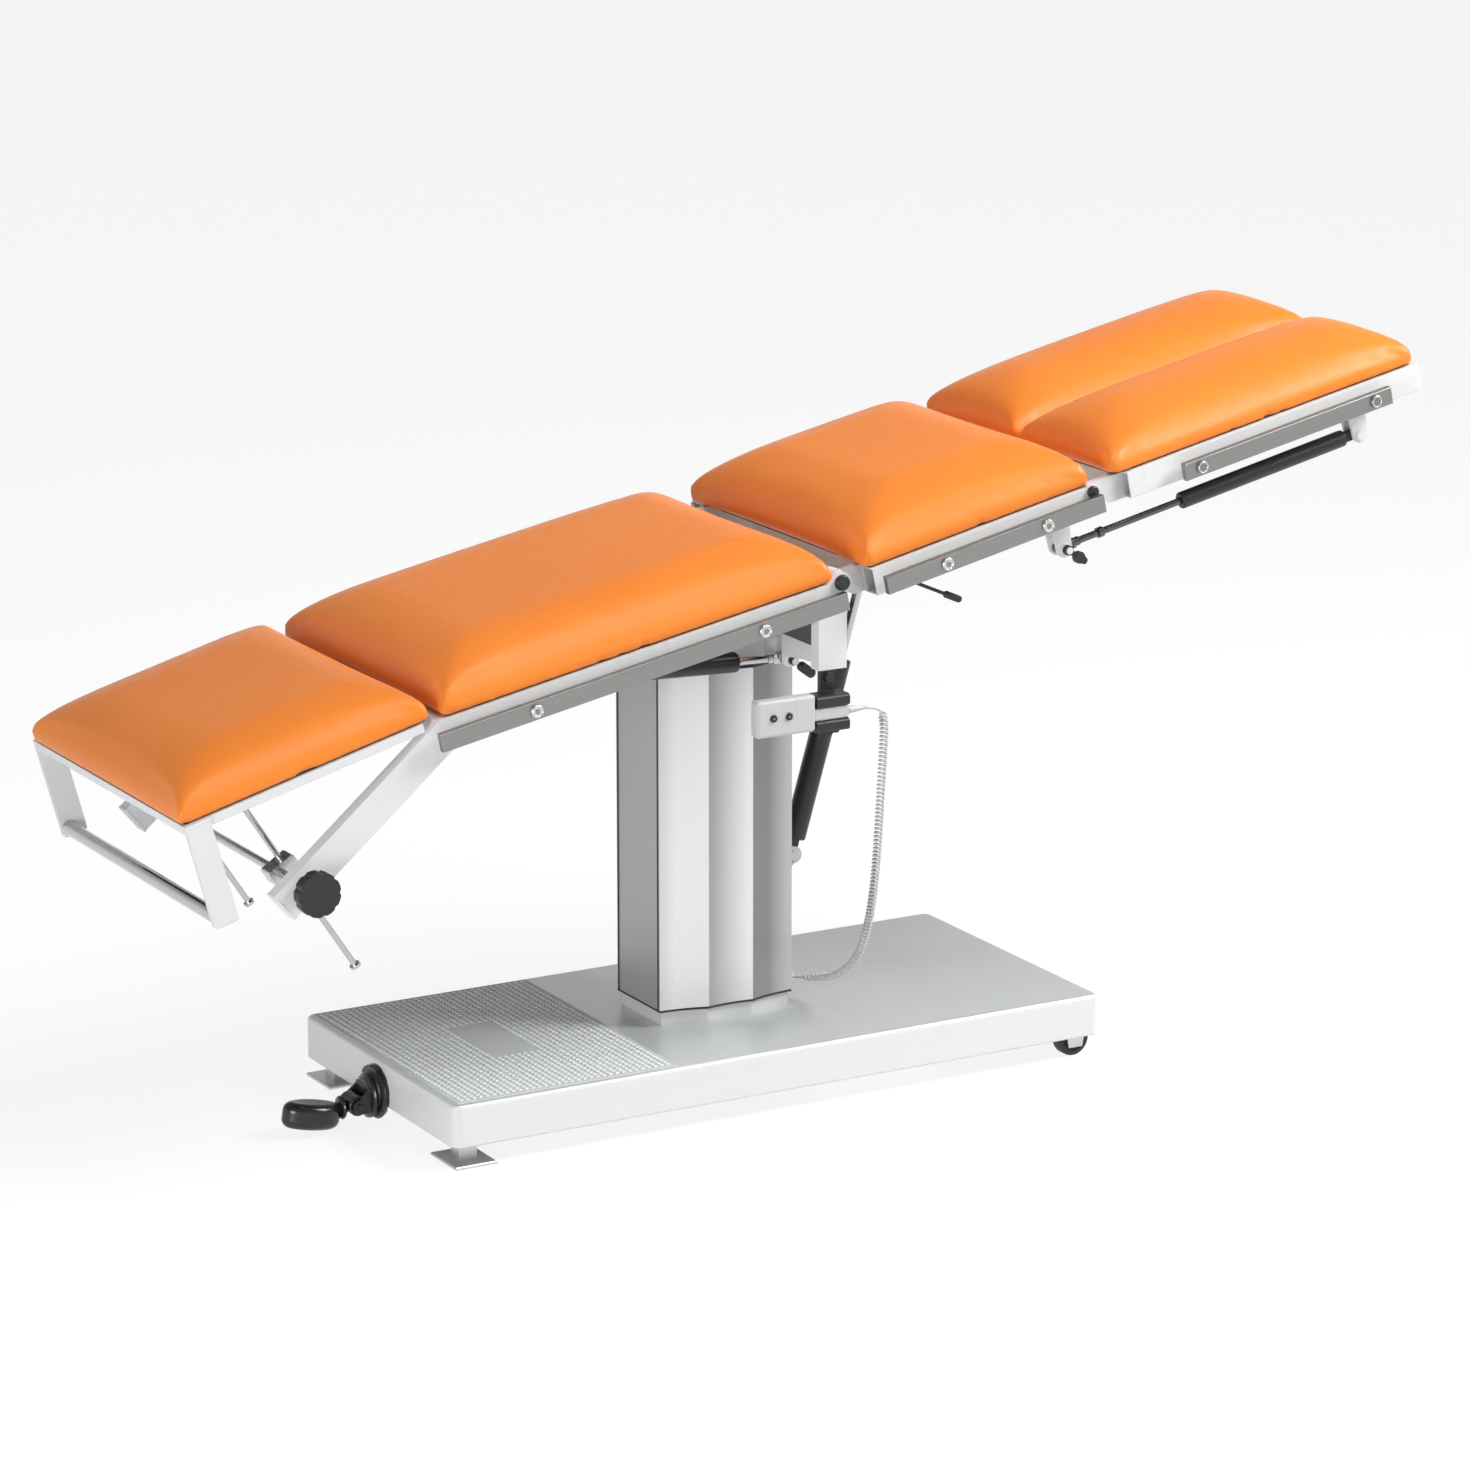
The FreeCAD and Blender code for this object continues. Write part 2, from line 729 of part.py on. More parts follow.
def carrier():
    x0, x1 = beam_x - beam_length / 2, beam_x + beam_length / 2
    z0, z1 = beam_z - beam_height / 2, beam_z + beam_height / 2
    inner = upright_y - upright_t
    beam = box(x0, x1, -inner, inner, z0, z1)
    pieces = [beam]
    foot_z = shell_top + top_plate_t
    foot_x = column_x - shell_length / 2
    foot_end = column_x + shell_length / 2 - carrier_end_gap
    for s in (1, -1):
        y = s * pedestal_y
        cheek = slab([(foot_x + carrier_cheek_inset, foot_z), (foot_end, foot_z), (x1, z0 + 1), (x0, z0 + 1)],
                     y - pedestal_t / 2, y + pedestal_t / 2)
        pieces.append(cheek)
    foot = box(foot_x + carrier_foot_inset, foot_end, -pedestal_y - pedestal_t / 2,
               pedestal_y + pedestal_t / 2, foot_z, foot_z + carrier_foot_t)
    gusset = arched_gusset()
    slot = spring_slot / 2
    notch = box(x0 - 40, x1 + 40, back_spring_y - slot, back_spring_y + slot, foot_z - 20, z0)
    pieces += [foot, gusset.cut(notch), mirrored(gusset)] + pair(upright())
    return join(*pieces, *spring_cheeks(), *spring_arm())


def spring_cheeks():
    """Two ears for the back spring's foot, outboard of the column."""
    x, z = back_spring_foot
    inner = eye_t / 2 + cheek_gap
    ears = []
    for s in (1, -1):
        y = back_spring_y + s * (inner + cheek_t / 2)
        ear = slab([(x - cheek_r, z), (x + cheek_r, z), (x + cheek_r, beam_z), (x - cheek_r, beam_z)],
                   y - cheek_t / 2, y + cheek_t / 2)
        ears.append(join(ear, across(x, z, y - cheek_t / 2, y + cheek_t / 2, cheek_r)))
    return ears


def spring_arm():
    """Pin and bolt heads through the ears."""
    x, z = back_spring_foot
    half = eye_t / 2 + cheek_gap + cheek_t
    pin = across(x, z, back_spring_y - half, back_spring_y + half, link_pin_r)
    heads = [across(x, z, back_spring_y - half - bolt_t, back_spring_y - half, bolt_r),
             across(x, z, back_spring_y + half, back_spring_y + half + bolt_t, bolt_r)]
    end = back_spring_y - half - bolt_t - lever_hub_l - 2 * lever_gap
    stub = across(x, z, end - 2, back_spring_y - half, lever_pin_r)
    stop = across(x, z, end - 2, end, lever_pin_r + 2)
    return [pin, stub, stop] + heads


def pivot_pin(x, z, y_in, y_out, r, head_r):
    """Pin with a domed cap outside and a flange inside."""
    shank = across(x, z, -y_out, -y_in, r)
    cap = across(x, z, -y_out - cap_t, -y_out, head_r)
    cap = cap.makeFillet(3, [e for e in cap.Edges if e.BoundBox.YMax < -y_out - cap_t + 0.1])
    flange = across(x, z, -y_in, -y_in + 4, r + 3)
    return join(shank, cap, flange)


def main_pins():
    return group(pair(pivot_pin(pivot_x, pivot_z, lane_c - lug_t - end_play, half_width + end_play, main_pin_r,
                                cap_r)))


def tilt_bracket():
    """Clevis on the column's leg-end face for the tilt cylinder's foot."""
    x0 = column_x + shell_length / 2
    x, z = tilt_foot
    inner = eye_t / 2 + cheek_gap
    plate = box(x0, x0 + cheek_t, -bracket_half, bracket_half, z - bracket_low, z + bracket_high)
    ears = []
    for s in (1, -1):
        a, b = sorted((s * inner, s * (inner + cheek_t)))
        outline = slab([(x0, z - bracket_low + 8), (x, z - ear_half), (x + ear_half, z), (x, z + ear_half),
                        (x0, z + bracket_high - 10)], a, b)
        ears.append(join(outline, across(x, z, a, b, ear_half)))
    half = inner + cheek_t
    pin = across(x, z, -half - bolt_t, half + bolt_t, link_pin_r)
    heads = [across(x, z, -half - bolt_t, -half, bolt_r), across(x, z, half, half + bolt_t, bolt_r)]
    return join(plate, *ears, pin, *heads)


# Handset

def handset_holder():
    """Bar under the near upright with two half-round clips and their bolts."""
    x, top = upright_x - 8, upright_bottom
    y_back = -(upright_y - holder_t)
    low = handset_z - handset_h / 2 - 14
    strap = box(x - holder_w / 2, x + holder_w / 2, -upright_y, y_back, low, top)
    neck_z = handset_z - neck_fall
    y_front = handset_y - neck_t / 2
    clips = []
    for s in (1, -1):
        edge = neck_z + s * (neck_h / 2 + clip_gap)
        a, b = sorted((edge, edge + s * clip_t))
        clip = box(x - clip_back, x - clip_back + clip_l, y_front - 3, -upright_y, a, b)
        keep = [e for e in clip.Edges if abs(e.tangentAt(e.FirstParameter).x) > 0.9
                and e.BoundBox.YMax < y_front - 2.9]
        clip = clip.makeFillet(5, keep)
        clips.append(clip)
    bolts = [across(x, top - 9, -upright_y - 7, -upright_y, 6.5),
             across(x, low + 6, -upright_y - 7, -upright_y, 6.5),
             across(x + 12, low + 6, -upright_y - 5, -upright_y, 5)]
    shelf = box(x - 8, x + 18, -upright_y, y_back, low, low + 12)
    return join(strap, shelf, *clips, *bolts)


def handset():
    """Flat box with a narrower neck and two button wells."""
    x0 = handset_x - handset_l / 2
    x1 = handset_x + handset_l / 2
    y0, y1 = handset_y - handset_t / 2, handset_y + handset_t / 2
    body = box(x0, x1, y0, y1, handset_z - handset_h / 2, handset_z + handset_h / 2)
    body = body.makeFillet(5, body.Edges)
    neck_z = handset_z - neck_fall
    neck = box(x1 - 8, x1 + neck_l, handset_y - neck_t / 2, handset_y + neck_t / 2,
               neck_z - neck_h / 2, neck_z + neck_h / 2)
    neck = neck.makeFillet(3, [e for e in neck.Edges if e.BoundBox.XMax > x1])
    shape = join(body, neck)
    for x in button_places():
        shape = shape.cut(across(x, handset_z + button_lift, y0 - 1, y0 + 6, button_r + 0.3))
    return shape


def button_places():
    middle = handset_x - button_back
    return (middle - button_space / 2, middle + button_space / 2)


def handset_button(x):
    """Domed button with a little of its stem in the well."""
    y0 = handset_y - handset_t / 2
    stem = across(x, handset_z + button_lift, y0 - 2.5, y0 + 6 - button_travel - 0.5, button_r)
    return stem.makeFillet(1.2, [e for e in stem.Edges if e.BoundBox.YMax < y0 - 2.4])


def cord_gland():
    x = column_x + shell_length / 2
    flange = Part.makeCylinder(gland_r, 4, V(x, gland_y, gland_z), V(1, 0, 0))
    root, end = gland_line()
    neck = Part.makeCylinder(cord_r + 2, gland_root, V(x, gland_y, gland_z), V(1, 0, 0))
    ball = Part.makeSphere(cord_r + 2, root).cut(box(x - 20, x + 1, -100, 100, 0, 2 * gland_z))
    return join(flange, neck, ball, bar(root, end, cord_r + 1))


def gland_line():
    """From the gland's root to the cord's end, along the cord's last run."""
    root = V(column_x + shell_length / 2 + gland_root, gland_y, gland_z)
    run = V(*cord_route[-1]) - root
    return root, root + run.normalize() * gland_l


def handset_cord():
    """Tube of the curly cord's outer diameter: straight runs joined by tangent arcs."""
    points = [V(*p) for p in cord_route] + [gland_line()[1]]
    edges = []
    start = points[0]
    length = 0.0
    for before, here, after in zip(points, points[1:], points[2:]):
        into, out = here - before, after - here
        turn = into.getAngle(out)
        reach = 0.45 * min(into.Length, out.Length)
        radius = reach / math.tan(turn / 2)
        a = here - into.normalize() * reach
        b = here + out.normalize() * reach
        bisector = ((a + b) / 2 - here).normalize()
        far = radius / math.cos(turn / 2) - radius
        middle = here + bisector * far
        edges.append(Part.LineSegment(start, a).toShape())
        edges.append(Part.Arc(a, middle, b).toShape())
        length += (a - start).Length + radius * turn
        print("cord turn %.1f deg, radius %.1f mm" % (math.degrees(turn), radius))
        start = b
    edges.append(Part.LineSegment(start, points[-1]).toShape())
    length += (points[-1] - start).Length
    path = Part.Wire(edges)
    ring = Part.Wire(Part.Circle(points[0], points[1] - points[0], cord_r).toShape())
    tube = path.makePipeShell([ring], True, False)
    print("cord length %.1f mm, volume ratio %.4f" % (length, tube.Volume / (math.pi * cord_r ** 2 * length)))
    return tube


# Sections

def side_tube(u0, u1, y0, y1):
    """Closed-end rectangular tube seen from outside, open towards the hinge."""
    return box(u0, u1, y0, y1, side_low, side_top)


def hollow_tube(u0, u1, y0, y1, open_end):
    outer = side_tube(u0, u1, y0, y1)
    a, b = u0 + tube_wall, u1 - tube_wall
    if open_end == "low":
        a = u0 - 1
    else:
        b = u1 + 1
    return outer.cut(box(a, b, y0 + tube_wall, y1 - tube_wall, side_low + tube_wall, side_top - tube_wall))


def hinge_lug(u_weld, eye, r_eye, y0, y1, r_bore):
    """Plate from a side tube to a hinge eye, rounded about the eye."""
    u, w = eye
    direction = 1 if u > u_weld else -1
    outline = [(u_weld, side_low), (u - direction * lug_sweep, side_low), (u - direction * 2, w - r_eye),
               (u, w), (u - direction * 0.71 * r_eye, w + 0.7 * r_eye), (u - direction * lug_fall, side_top),
               (u_weld, side_top)]
    plate = join(slab(outline, y0, y1), across(u, w, y0, y1, r_eye))
    return plate.cut(across(u, w, y0 - 1, y1 + 1, r_bore))


def cross_tube(u, half_span, width=cross_w):
    return box(u - width / 2, u + width / 2, -half_span, half_span, side_low, side_top)


def hanging_ears(u, w, y, wall):
    """Two ears hanging from a cross tube, with bolt heads outside and open between."""
    inner = eye_t / 2 + cheek_gap
    pieces = []
    for s in (1, -1):
        a, b = sorted((y + s * inner, y + s * (inner + wall)))
        ear = join(slab([(u - ear_half, w), (u + ear_half, w), (u + ear_half + 2, side_low + 1),
                         (u - ear_half - 2, side_low + 1)], a, b), across(u, w, a, b, ear_half))
        head = across(u, w, *sorted((y + s * (inner + wall), y + s * (inner + wall + bolt_t))), bolt_r)
        pieces += [ear, head]
    return pieces


def rail(u0, u1, screws):
    """Near side rail on round spacers."""
    strip = box(u0, u1, -rail_out, -rail_in, rail_top - rail_h, rail_top)
    strip = strip.makeFillet(1.5, [e for e in strip.Edges if e.BoundBox.YMax < -rail_out + 0.1])
    middle = rail_top - rail_h / 2
    posts = [across(u, middle, -rail_in, -half_width, spacer_r) for u in screws]
    holes = [across(u, middle, -rail_out - 1, -half_width + 1, screw_shank_r) for u in screws]
    return join(strip, *posts).cut(Part.makeCompound(holes))


def rail_screws(screws):
    """Cap screws: low head with a hexagon socket, and a shank."""
    middle = rail_top - rail_h / 2
    made = []
    for u in screws:
        head = across(u, middle, -rail_out - screw_head, -rail_out, screw_r)
        head = head.makeFillet(1.2, [e for e in head.Edges if e.BoundBox.YMax < -rail_out - screw_head + 0.1])
        shank = across(u, middle, -rail_out, -half_width, screw_shank_r)
        corners = [(u + 4 * math.cos(math.pi * i / 3), middle + 4 * math.sin(math.pi * i / 3)) for i in range(6)]
        socket = slab(corners, -rail_out - screw_head - 1, -rail_out - 1)
        made.append(join(head, shank).cut(socket))
    return made


def pad(span, y0, y1, crown):
    """Board with a cushion: a thin lip, then shoulders that round over to a crown."""
    u0, u1 = span
    low = side_top + pad_clear
    board = box(u0 + board_inset, u1 - board_inset, y0 + board_inset, y1 - board_inset, low, low + board_t + 1)
    base = low + board_t
    room = min(shoulder, (y1 - y0) / 2 - 14, (u1 - u0) / 2 - 14)
    levels = [(0.0, 0.0), (0.0, pad_lip)]
    levels += [(room * across_share, pad_lip + (crown - pad_lip) * rise) for across_share, rise in pad_profile]
    levels.append((room, crown))
    wires = []
    for inset, height in levels:
        z = base + height
        corners = [V(u0 + inset, y0 + inset, z), V(u1 - inset, y0 + inset, z),
                   V(u1 - inset, y1 - inset, z), V(u0 + inset, y1 - inset, z)]
        wires.append(Part.makePolygon(corners + corners[:1]))
    return join(board, Part.makeLoft(wires, True, True))


def back_frame():
    """Side tubes, three cross tubes, outer hinge lugs and the spring's ears."""
    tubes = pair(hollow_tube(back_start, back_end, -half_width, -side_inner, "high"))
    lugs = pair(hinge_lug(back_end - 10, (0.0, -pivot_drop), lug_r, -half_width, -lane_a,
                          main_pin_r + running_gap))
    spring_u = back_spring_head[0]
    crosses = [cross_tube(back_start + cross_w / 2, side_inner), cross_tube(spring_u, side_inner),
               cross_tube(back_pivot_cross, side_inner)]
    ears = hanging_ears(*back_spring_head, back_spring_y, cheek_t)
    return join(*tubes, *lugs, *crosses, *ears)


def seat_frame():
    """Side tubes, inner lugs at the main pivot, outer lugs at the leg pivot."""
    tubes = pair(hollow_tube(seat_start, seat_end, -half_width, -side_inner, "low"))
    inner = pair(hinge_lug(seat_start + lug_weld, (0.0, -pivot_drop), lug_r, -lane_c, -lane_c + lug_t,
                           main_pin_r + running_gap))
    weld = pair(box(seat_start, seat_start + lug_weld, -side_inner - 1, -lane_c + lug_t, side_low, side_top))
    eye = (seat_span, -leg_drop)
    outer = pair(hinge_lug(seat_end - 10, eye, leg_lug_r, -half_width, -lane_a, leg_pin_r))
    crosses = [cross_tube(seat_start + seat_cross_inset, side_inner), cross_tube(tilt_head[0], side_inner),
               cross_tube(leg_spring_foot[0], side_inner)]
    middle = pair(hinge_lug(leg_spring_foot[0], eye, leg_lug_r, -inner_lug_y, lug_t - inner_lug_y, leg_pin_r))
    ears = hanging_ears(*tilt_head, 0.0, cheek_t)
    for side in (1, -1):
        ears += spring_foot_ears(side)
    u, w = seat_lever_at
    ear_y = -seat_lever_y - lever_ear_t
    stop_y = -seat_lever_y + lever_hub_l + 2 * lever_gap
    lever_ear = join(box(u - lever_ear_w / 2, u + lever_ear_w / 2, ear_y, -seat_lever_y,
                         w - lever_ear_w / 2, side_low + 1),
                     across(u, w, ear_y, stop_y + 2, lever_pin_r),
                     across(u, w, stop_y, stop_y + 2, lever_pin_r + 2))
    lever_bar = box(tilt_head[0] - lever_bar_l, tilt_head[0], -seat_lever_y - lever_bar_w, -seat_lever_y,
                    side_low, side_top)
    return join(*tubes, *inner, *weld, *outer, *crosses, *middle, *ears, lever_ear, lever_bar)


def spring_foot_ears(side):
    """Clevis under the seat's leg end, pinned through."""
    u, w = leg_spring_foot
    y = side * -leg_spring_y
    pieces = hanging_ears(u, w, y, cheek_t)
    half = eye_t / 2 + cheek_gap + cheek_t
    end = leg_spring_y + half + bolt_t + paddle_hub_l + 2 * lever_gap
    a, b = sorted((-side * leg_spring_y, -side * (end + 2)))
    c, d = sorted((-side * end, -side * (end + 2)))
    stub = across(u, w, a, b, lever_pin_r)
    stop = across(u, w, c, d, lever_pin_r + 2)
    return pieces + [across(u, w, y - half, y + half, link_pin_r), stub, stop]


def leg_frame():
    """Near leg: two side tubes, three cross tubes, inner lugs and the spring's ears."""
    near = hollow_tube(leg_start, leg_end, -half_width, -side_inner, "low")
    far = hollow_tube(leg_start, leg_end, -leg_gap - side_t, -leg_gap, "low")
    crosses = []
    for u in (leg_start + 20, leg_spring_head[0], leg_end - cross_w / 2 - 2):
        crosses.append(box(u - cross_w / 2, u + cross_w / 2, -side_inner - 1, -leg_gap - side_t + 1,
                           side_low, side_top))
    eye = (0.0, -leg_drop)
    outer = hinge_lug(leg_start + 12, eye, leg_lug_r, -lane_b, -lane_b + lug_t, leg_pin_r + running_gap)
    lane = inner_lug_y - lug_t - lane_gap
    inner = hinge_lug(leg_start + 12, eye, leg_lug_r, -lane, lug_t - lane, leg_pin_r + running_gap)
    ears = hanging_ears(*leg_spring_head, -leg_spring_y, cheek_t)
    return join(near, far, *crosses, outer, inner, *ears)


def leg_pins():
    """Outer pins with caps and a short pin through each pair of inner lugs."""
    outer = pivot_pin(seat_span, -leg_drop, lane_b - lug_t - end_play, half_width + end_play, leg_pin_r,
                      leg_cap_r)
    inner = across(seat_span, -leg_drop, -inner_lug_y - 2, 2 * lug_t + lane_gap + 2 - inner_lug_y, leg_pin_r)
    return group(pair(outer), pair(inner))


# Cylinders: barrel and rod on the line from foot to head, built along x and turned

def along(shape, start, end, y):
    placed = shape.copy()
    angle = math.degrees(math.atan2(end[1] - start[1], end[0] - start[0]))
    placed.rotate(V(0, 0, 0), Y_AXIS, -angle)
    placed.translate(V(start[0], y, start[1]))
    return placed


def eye_end(reach, bored):
    """Eye at the origin with a fork root running along x."""
    eye = across(0, 0, -eye_t / 2, eye_t / 2, eye_r)
    root = box(0, reach, -eye_t / 2, eye_t / 2, -eye_r * 0.7, eye_r * 0.7)
    shape = join(eye, root)
    if bored:
        return shape.cut(across(0, 0, -eye_t, eye_t, link_pin_r + running_gap))
    return shape


def barrel(radius, length, rod_r, rod_depth, bored):
    """Closed tube with an eye at its foot, mouth at the far end."""
    tube = Part.makeCylinder(radius, length, V(fitting_l, 0, 0), V(1, 0, 0))
    tube = tube.makeFillet(3, [e for e in tube.Edges if e.Length > 2 * radius * 3])
    shape = join(eye_end(fitting_l + 2, bored), tube)
    end = fitting_l + length
    return shape.cut(Part.makeCylinder(rod_r + slide_gap, rod_depth, V(end - rod_depth, 0, 0), V(1, 0, 0)))


def rod_length(start, end, barrel_l, overlap):
    """From the rod's eye to its end inside the barrel."""
    return math.hypot(end[0] - start[0], end[1] - start[1]) - fitting_l - barrel_l + overlap


def rod(radius, length, collar, bored):
    """Rod from its eye, with a release head."""
    head = Part.makeCylinder(radius + 1.5, 12, V(fitting_l - 4, 0, 0), V(1, 0, 0))
    pieces = [eye_end(fitting_l, bored), head, Part.makeCylinder(radius, length - 8, V(8, 0, 0), V(1, 0, 0))]
    if collar:
        pieces.append(Part.makeCylinder(radius + 2.5, 8, V(collar, 0, 0), V(1, 0, 0)))
    return join(*pieces)


# Levers

def grip_lever(start, end, y, grip_l, grip_r):
    """Wire lever with an oval grip, on a small hub at its start."""
    run = V(end[0] - start[0], 0, end[1] - start[1])
    length = run.Length
    wire = Part.makeCylinder(lever_wire_r, length, V(0, 0, 0), V(1, 0, 0))
    grip = Part.makeCylinder(grip_r, grip_l, V(length - grip_l / 2, 0, 0), V(1, 0, 0))
    grip = grip.makeFillet(grip_r * 0.8, [e for e in grip.Edges if e.Length > 5 * grip_r])
    half = lever_hub_l / 2
    hub = across(0, 0, -half, half, lever_hub_r)
    bore = across(0, 0, -half - 1, half + 1, lever_pin_r + running_gap)
    return along(join(wire, grip, hub).cut(bore), start, end, y)


def paddle_lever(foot, y):
    """Thumb paddle turning beside the spring's foot."""
    half = paddle_hub_l / 2
    hub = across(0, 0, -half, half, lever_hub_r + 1)
    stem = box(0, paddle_reach, 0.5 - half, half - 0.5, -half - 0.5, half + 0.5)
    blade = join(across(paddle_reach, 0, -half - 0.5, half + 0.5, paddle_r),
                 across(paddle_reach + paddle_tip, 0, -half - 0.5, half + 0.5, paddle_r * 0.6),
                 slab([(paddle_reach, -paddle_r), (paddle_reach + paddle_tip, -paddle_r * 0.6),
                       (paddle_reach + paddle_tip, paddle_r * 0.6), (paddle_reach, paddle_r)],
                      -half - 0.5, half + 0.5))
    shape = join(hub, stem, blade).cut(across(0, 0, -half - 1, half + 1, lever_pin_r + running_gap))
    shape.rotate(V(0, 0, 0), Y_AXIS, paddle_angle)
    placed = shape.copy()
    placed.translate(V(foot[0], y, foot[1]))
    return placed


# Head

def head_frame_solid():
    """Flat frame, two rod blocks and two side bars hanging at the head end."""
    u0, u1 = head_start, head_end
    y = head_half_width
    z1 = side_top
    z0 = z1 - head_bar_h
    pieces = pair(box(u0, u1, -y, -y + head_bar_w, z0, z1))
    rod_u = rod_top_u()
    for u in (u0 + head_bar_w / 2, rod_u, u1 - head_bar_w / 2):
        pieces.append(box(u - head_bar_w / 2, u + head_bar_w / 2, -y + 1, y - 1, z0, z1))
    block = box(rod_u - rod_block_out, rod_u + rod_block_in, -slide_rod_y - rod_block_w / 2,
                -slide_rod_y + rod_block_w / 2, z0 - rod_block_h, z0 + 1)
    block = block.makeChamfer(6, [e for e in block.Edges if e.BoundBox.ZMax < z0 - rod_block_h + 0.1
                                  and abs(e.tangentAt(e.FirstParameter).y) > 0.9])
    pieces += pair(block)
    bow = box(u0, u0 + bow_w, -y - bow_t + bow_lap, -y + bow_lap, side_top - bow_drop, z1)
    bow = bow.makeFillet(5, [e for e in bow.Edges if e.BoundBox.ZMax < side_top - bow_drop + 0.1
                             and abs(e.tangentAt(e.FirstParameter).y) > 0.9])
    pieces += pair(bow)
    return join(*pieces)


def head_tube():
    """Chromed tube between the side bars."""
    u = head_start + bow_tube_r
    w = side_top - bow_drop + bow_tube_r + bow_tube_rise
    y = head_half_width - bow_lap
    return across(u, w, -y, y, bow_tube_r)


def hinge_point():
    """Clamp shaft's axis on the arms."""
    run = V(arm_end_x - arm_top_x, 0, arm_end_z - arm_top_z)
    run.normalize()
    return (arm_end_x - run.x * arm_hinge_back, arm_end_z - run.z * arm_hinge_back)


def slide_direction():
    a = math.radians(slide_angle)
    return V(math.cos(a), 0, math.sin(a))


def slide_point():
    """Point of the rod's line nearest the shaft."""
    x, z = hinge_point()
    d = slide_direction()
    return V(x - d.z * slide_offset, 0, z + d.x * slide_offset)


def rod_top():
    """Where the rod's line meets the head frame's underside."""
    d = slide_direction()
    q = slide_point()
    a = math.radians(head_angle)
    normal = V(-math.sin(a), 0, math.cos(a))
    level = side_top - head_bar_h
    gap = (q - V(head_x, 0, head_z)).dot(normal) - level
    return q - d * (gap / d.dot(normal))


def rod_top_u():
    a = math.radians(head_angle)
    return (rod_top() - V(head_x, 0, head_z)).dot(V(math.cos(a), 0, math.sin(a)))


def head_rods():
    top, low = rod_top(), slide_point() + slide_direction() * slide_below
    shift = V(0, -slide_rod_y, 0)
    stem = bar(top + shift, low + shift, slide_rod_r)
    flange = bar(low + shift, low + shift + slide_direction() * flange_t, flange_r)
    return pair(join(stem, flange).cut(lean(head_frame_solid(), head_place)))


def head_arms():
    """Rectangular arms from the back frame's head end, capped at the free end."""
    run = V(arm_end_x - arm_top_x, 0, arm_end_z - arm_top_z)
    length = run.Length
    start = arm_start
    arm = box(-start, length - arm_cap, -half_width, -half_width + arm_t, -arm_h / 2, arm_h / 2)
    inner = box(-start - 1, length - arm_cap - 3, -half_width + tube_wall, -half_width + arm_t - tube_wall,
                -arm_h / 2 + tube_wall, arm_h / 2 - tube_wall)
    cap = box(length - arm_cap, length, -half_width - 0.5, -half_width + arm_t + 0.5, -arm_h / 2 - 0.5,
              arm_h / 2 + 0.5)
    cap = cap.makeFillet(2, [e for e in cap.Edges if e.BoundBox.XMin > length - 0.1])
    boss = across(length - arm_hinge_back, 0, -half_width, -half_width + arm_t, 14)
    shape = join(arm.cut(inner), cap, boss)
    shape = shape.cut(across(length - arm_hinge_back, 0, -half_width - 2, 0, shaft_r + running_gap))
    angle = math.degrees(math.atan2(run.z, run.x))
    shape.rotate(V(0, 0, 0), Y_AXIS, -angle)
    shape.translate(V(arm_top_x, 0, arm_top_z))
    tube = lean(side_tube(back_start, back_end, -half_width, -side_inner), back_place)
    cross = lean(cross_tube(back_start + cross_w / 2, side_inner), back_place)
    return group(pair(shape.cut(tube).cut(cross)))


def head_shaft():
    """Cross shaft through both arms with a clamp block at each rod."""
    x, z = hinge_point()
    y_end = half_width + 4
    shaft = across(x, z, -y_end - 5, y_end, shaft_r)
    nut = across(x, z, y_end - 3, y_end + 5, 11)
    q = slide_point()
    d = slide_direction()
    blocks = []
    for s in (1, -1):
        block = box(-clamp_w / 2, clamp_w / 2, s * slide_rod_y - clamp_l / 2, s * slide_rod_y + clamp_l / 2,
                    -clamp_h / 2, clamp_h / 2)
        block = block.makeFillet(4, [e for e in block.Edges if abs(e.tangentAt(e.FirstParameter).y) > 0.9])
        block.rotate(V(0, 0, 0), Y_AXIS, -slide_angle)
        block.translate(V((x + q.x) / 2, 0, (z + q.z) / 2))
        y = V(0, s * slide_rod_y, 0)
        bore = bar(q + y - d * 60, q + y + d * 60, slide_rod_r + running_gap)
        blocks.append(block.cut(bore))
    return join(shaft, nut, *blocks)


def star_knob():
    """Lobed hand wheel outside the near arm."""
    x, z = hinge_point()
    y1 = -half_width - 4.0
    y0 = y1 - knob_collar
    collar = across(x, z, y0, y1, 12)
    disc = across(x, z, y0 - knob_t, y0, knob_r)
    for i in range(knob_lobes):
        a = 2 * math.pi * i / knob_lobes
        ring = knob_r + knob_groove_out
        groove = across(x + ring * math.cos(a), z + ring * math.sin(a), y0 - knob_t - 1, y0 + 1, knob_groove_r)
        disc = disc.cut(groove)
    disc = join(disc, collar)
    return disc.cut(across(x, z, y1 - 6.5, y1 + 1, shaft_r + running_gap))


# Assembly

def section(place):
    return lambda shape: lean(shape, place)


def build_base():
    parts["base_cover"] = base_cover()
    parts["tread_mat"] = tread_mat()
    parts["base_frame"] = base_frame()
    parts["foot_plates"] = foot_plates()
    parts["castor_brackets"] = castor_brackets()
    parts["castor_wheel_near"] = castor_wheel()
    parts["castor_wheel_far"] = mirrored(castor_wheel())
    parts["pedal_rosette"] = pedal_rosette()
    parts["foot_pedal"] = foot_pedal()
    parts["inner_mast"] = inner_mast()
    parts["lift_actuator"] = lift_actuator()


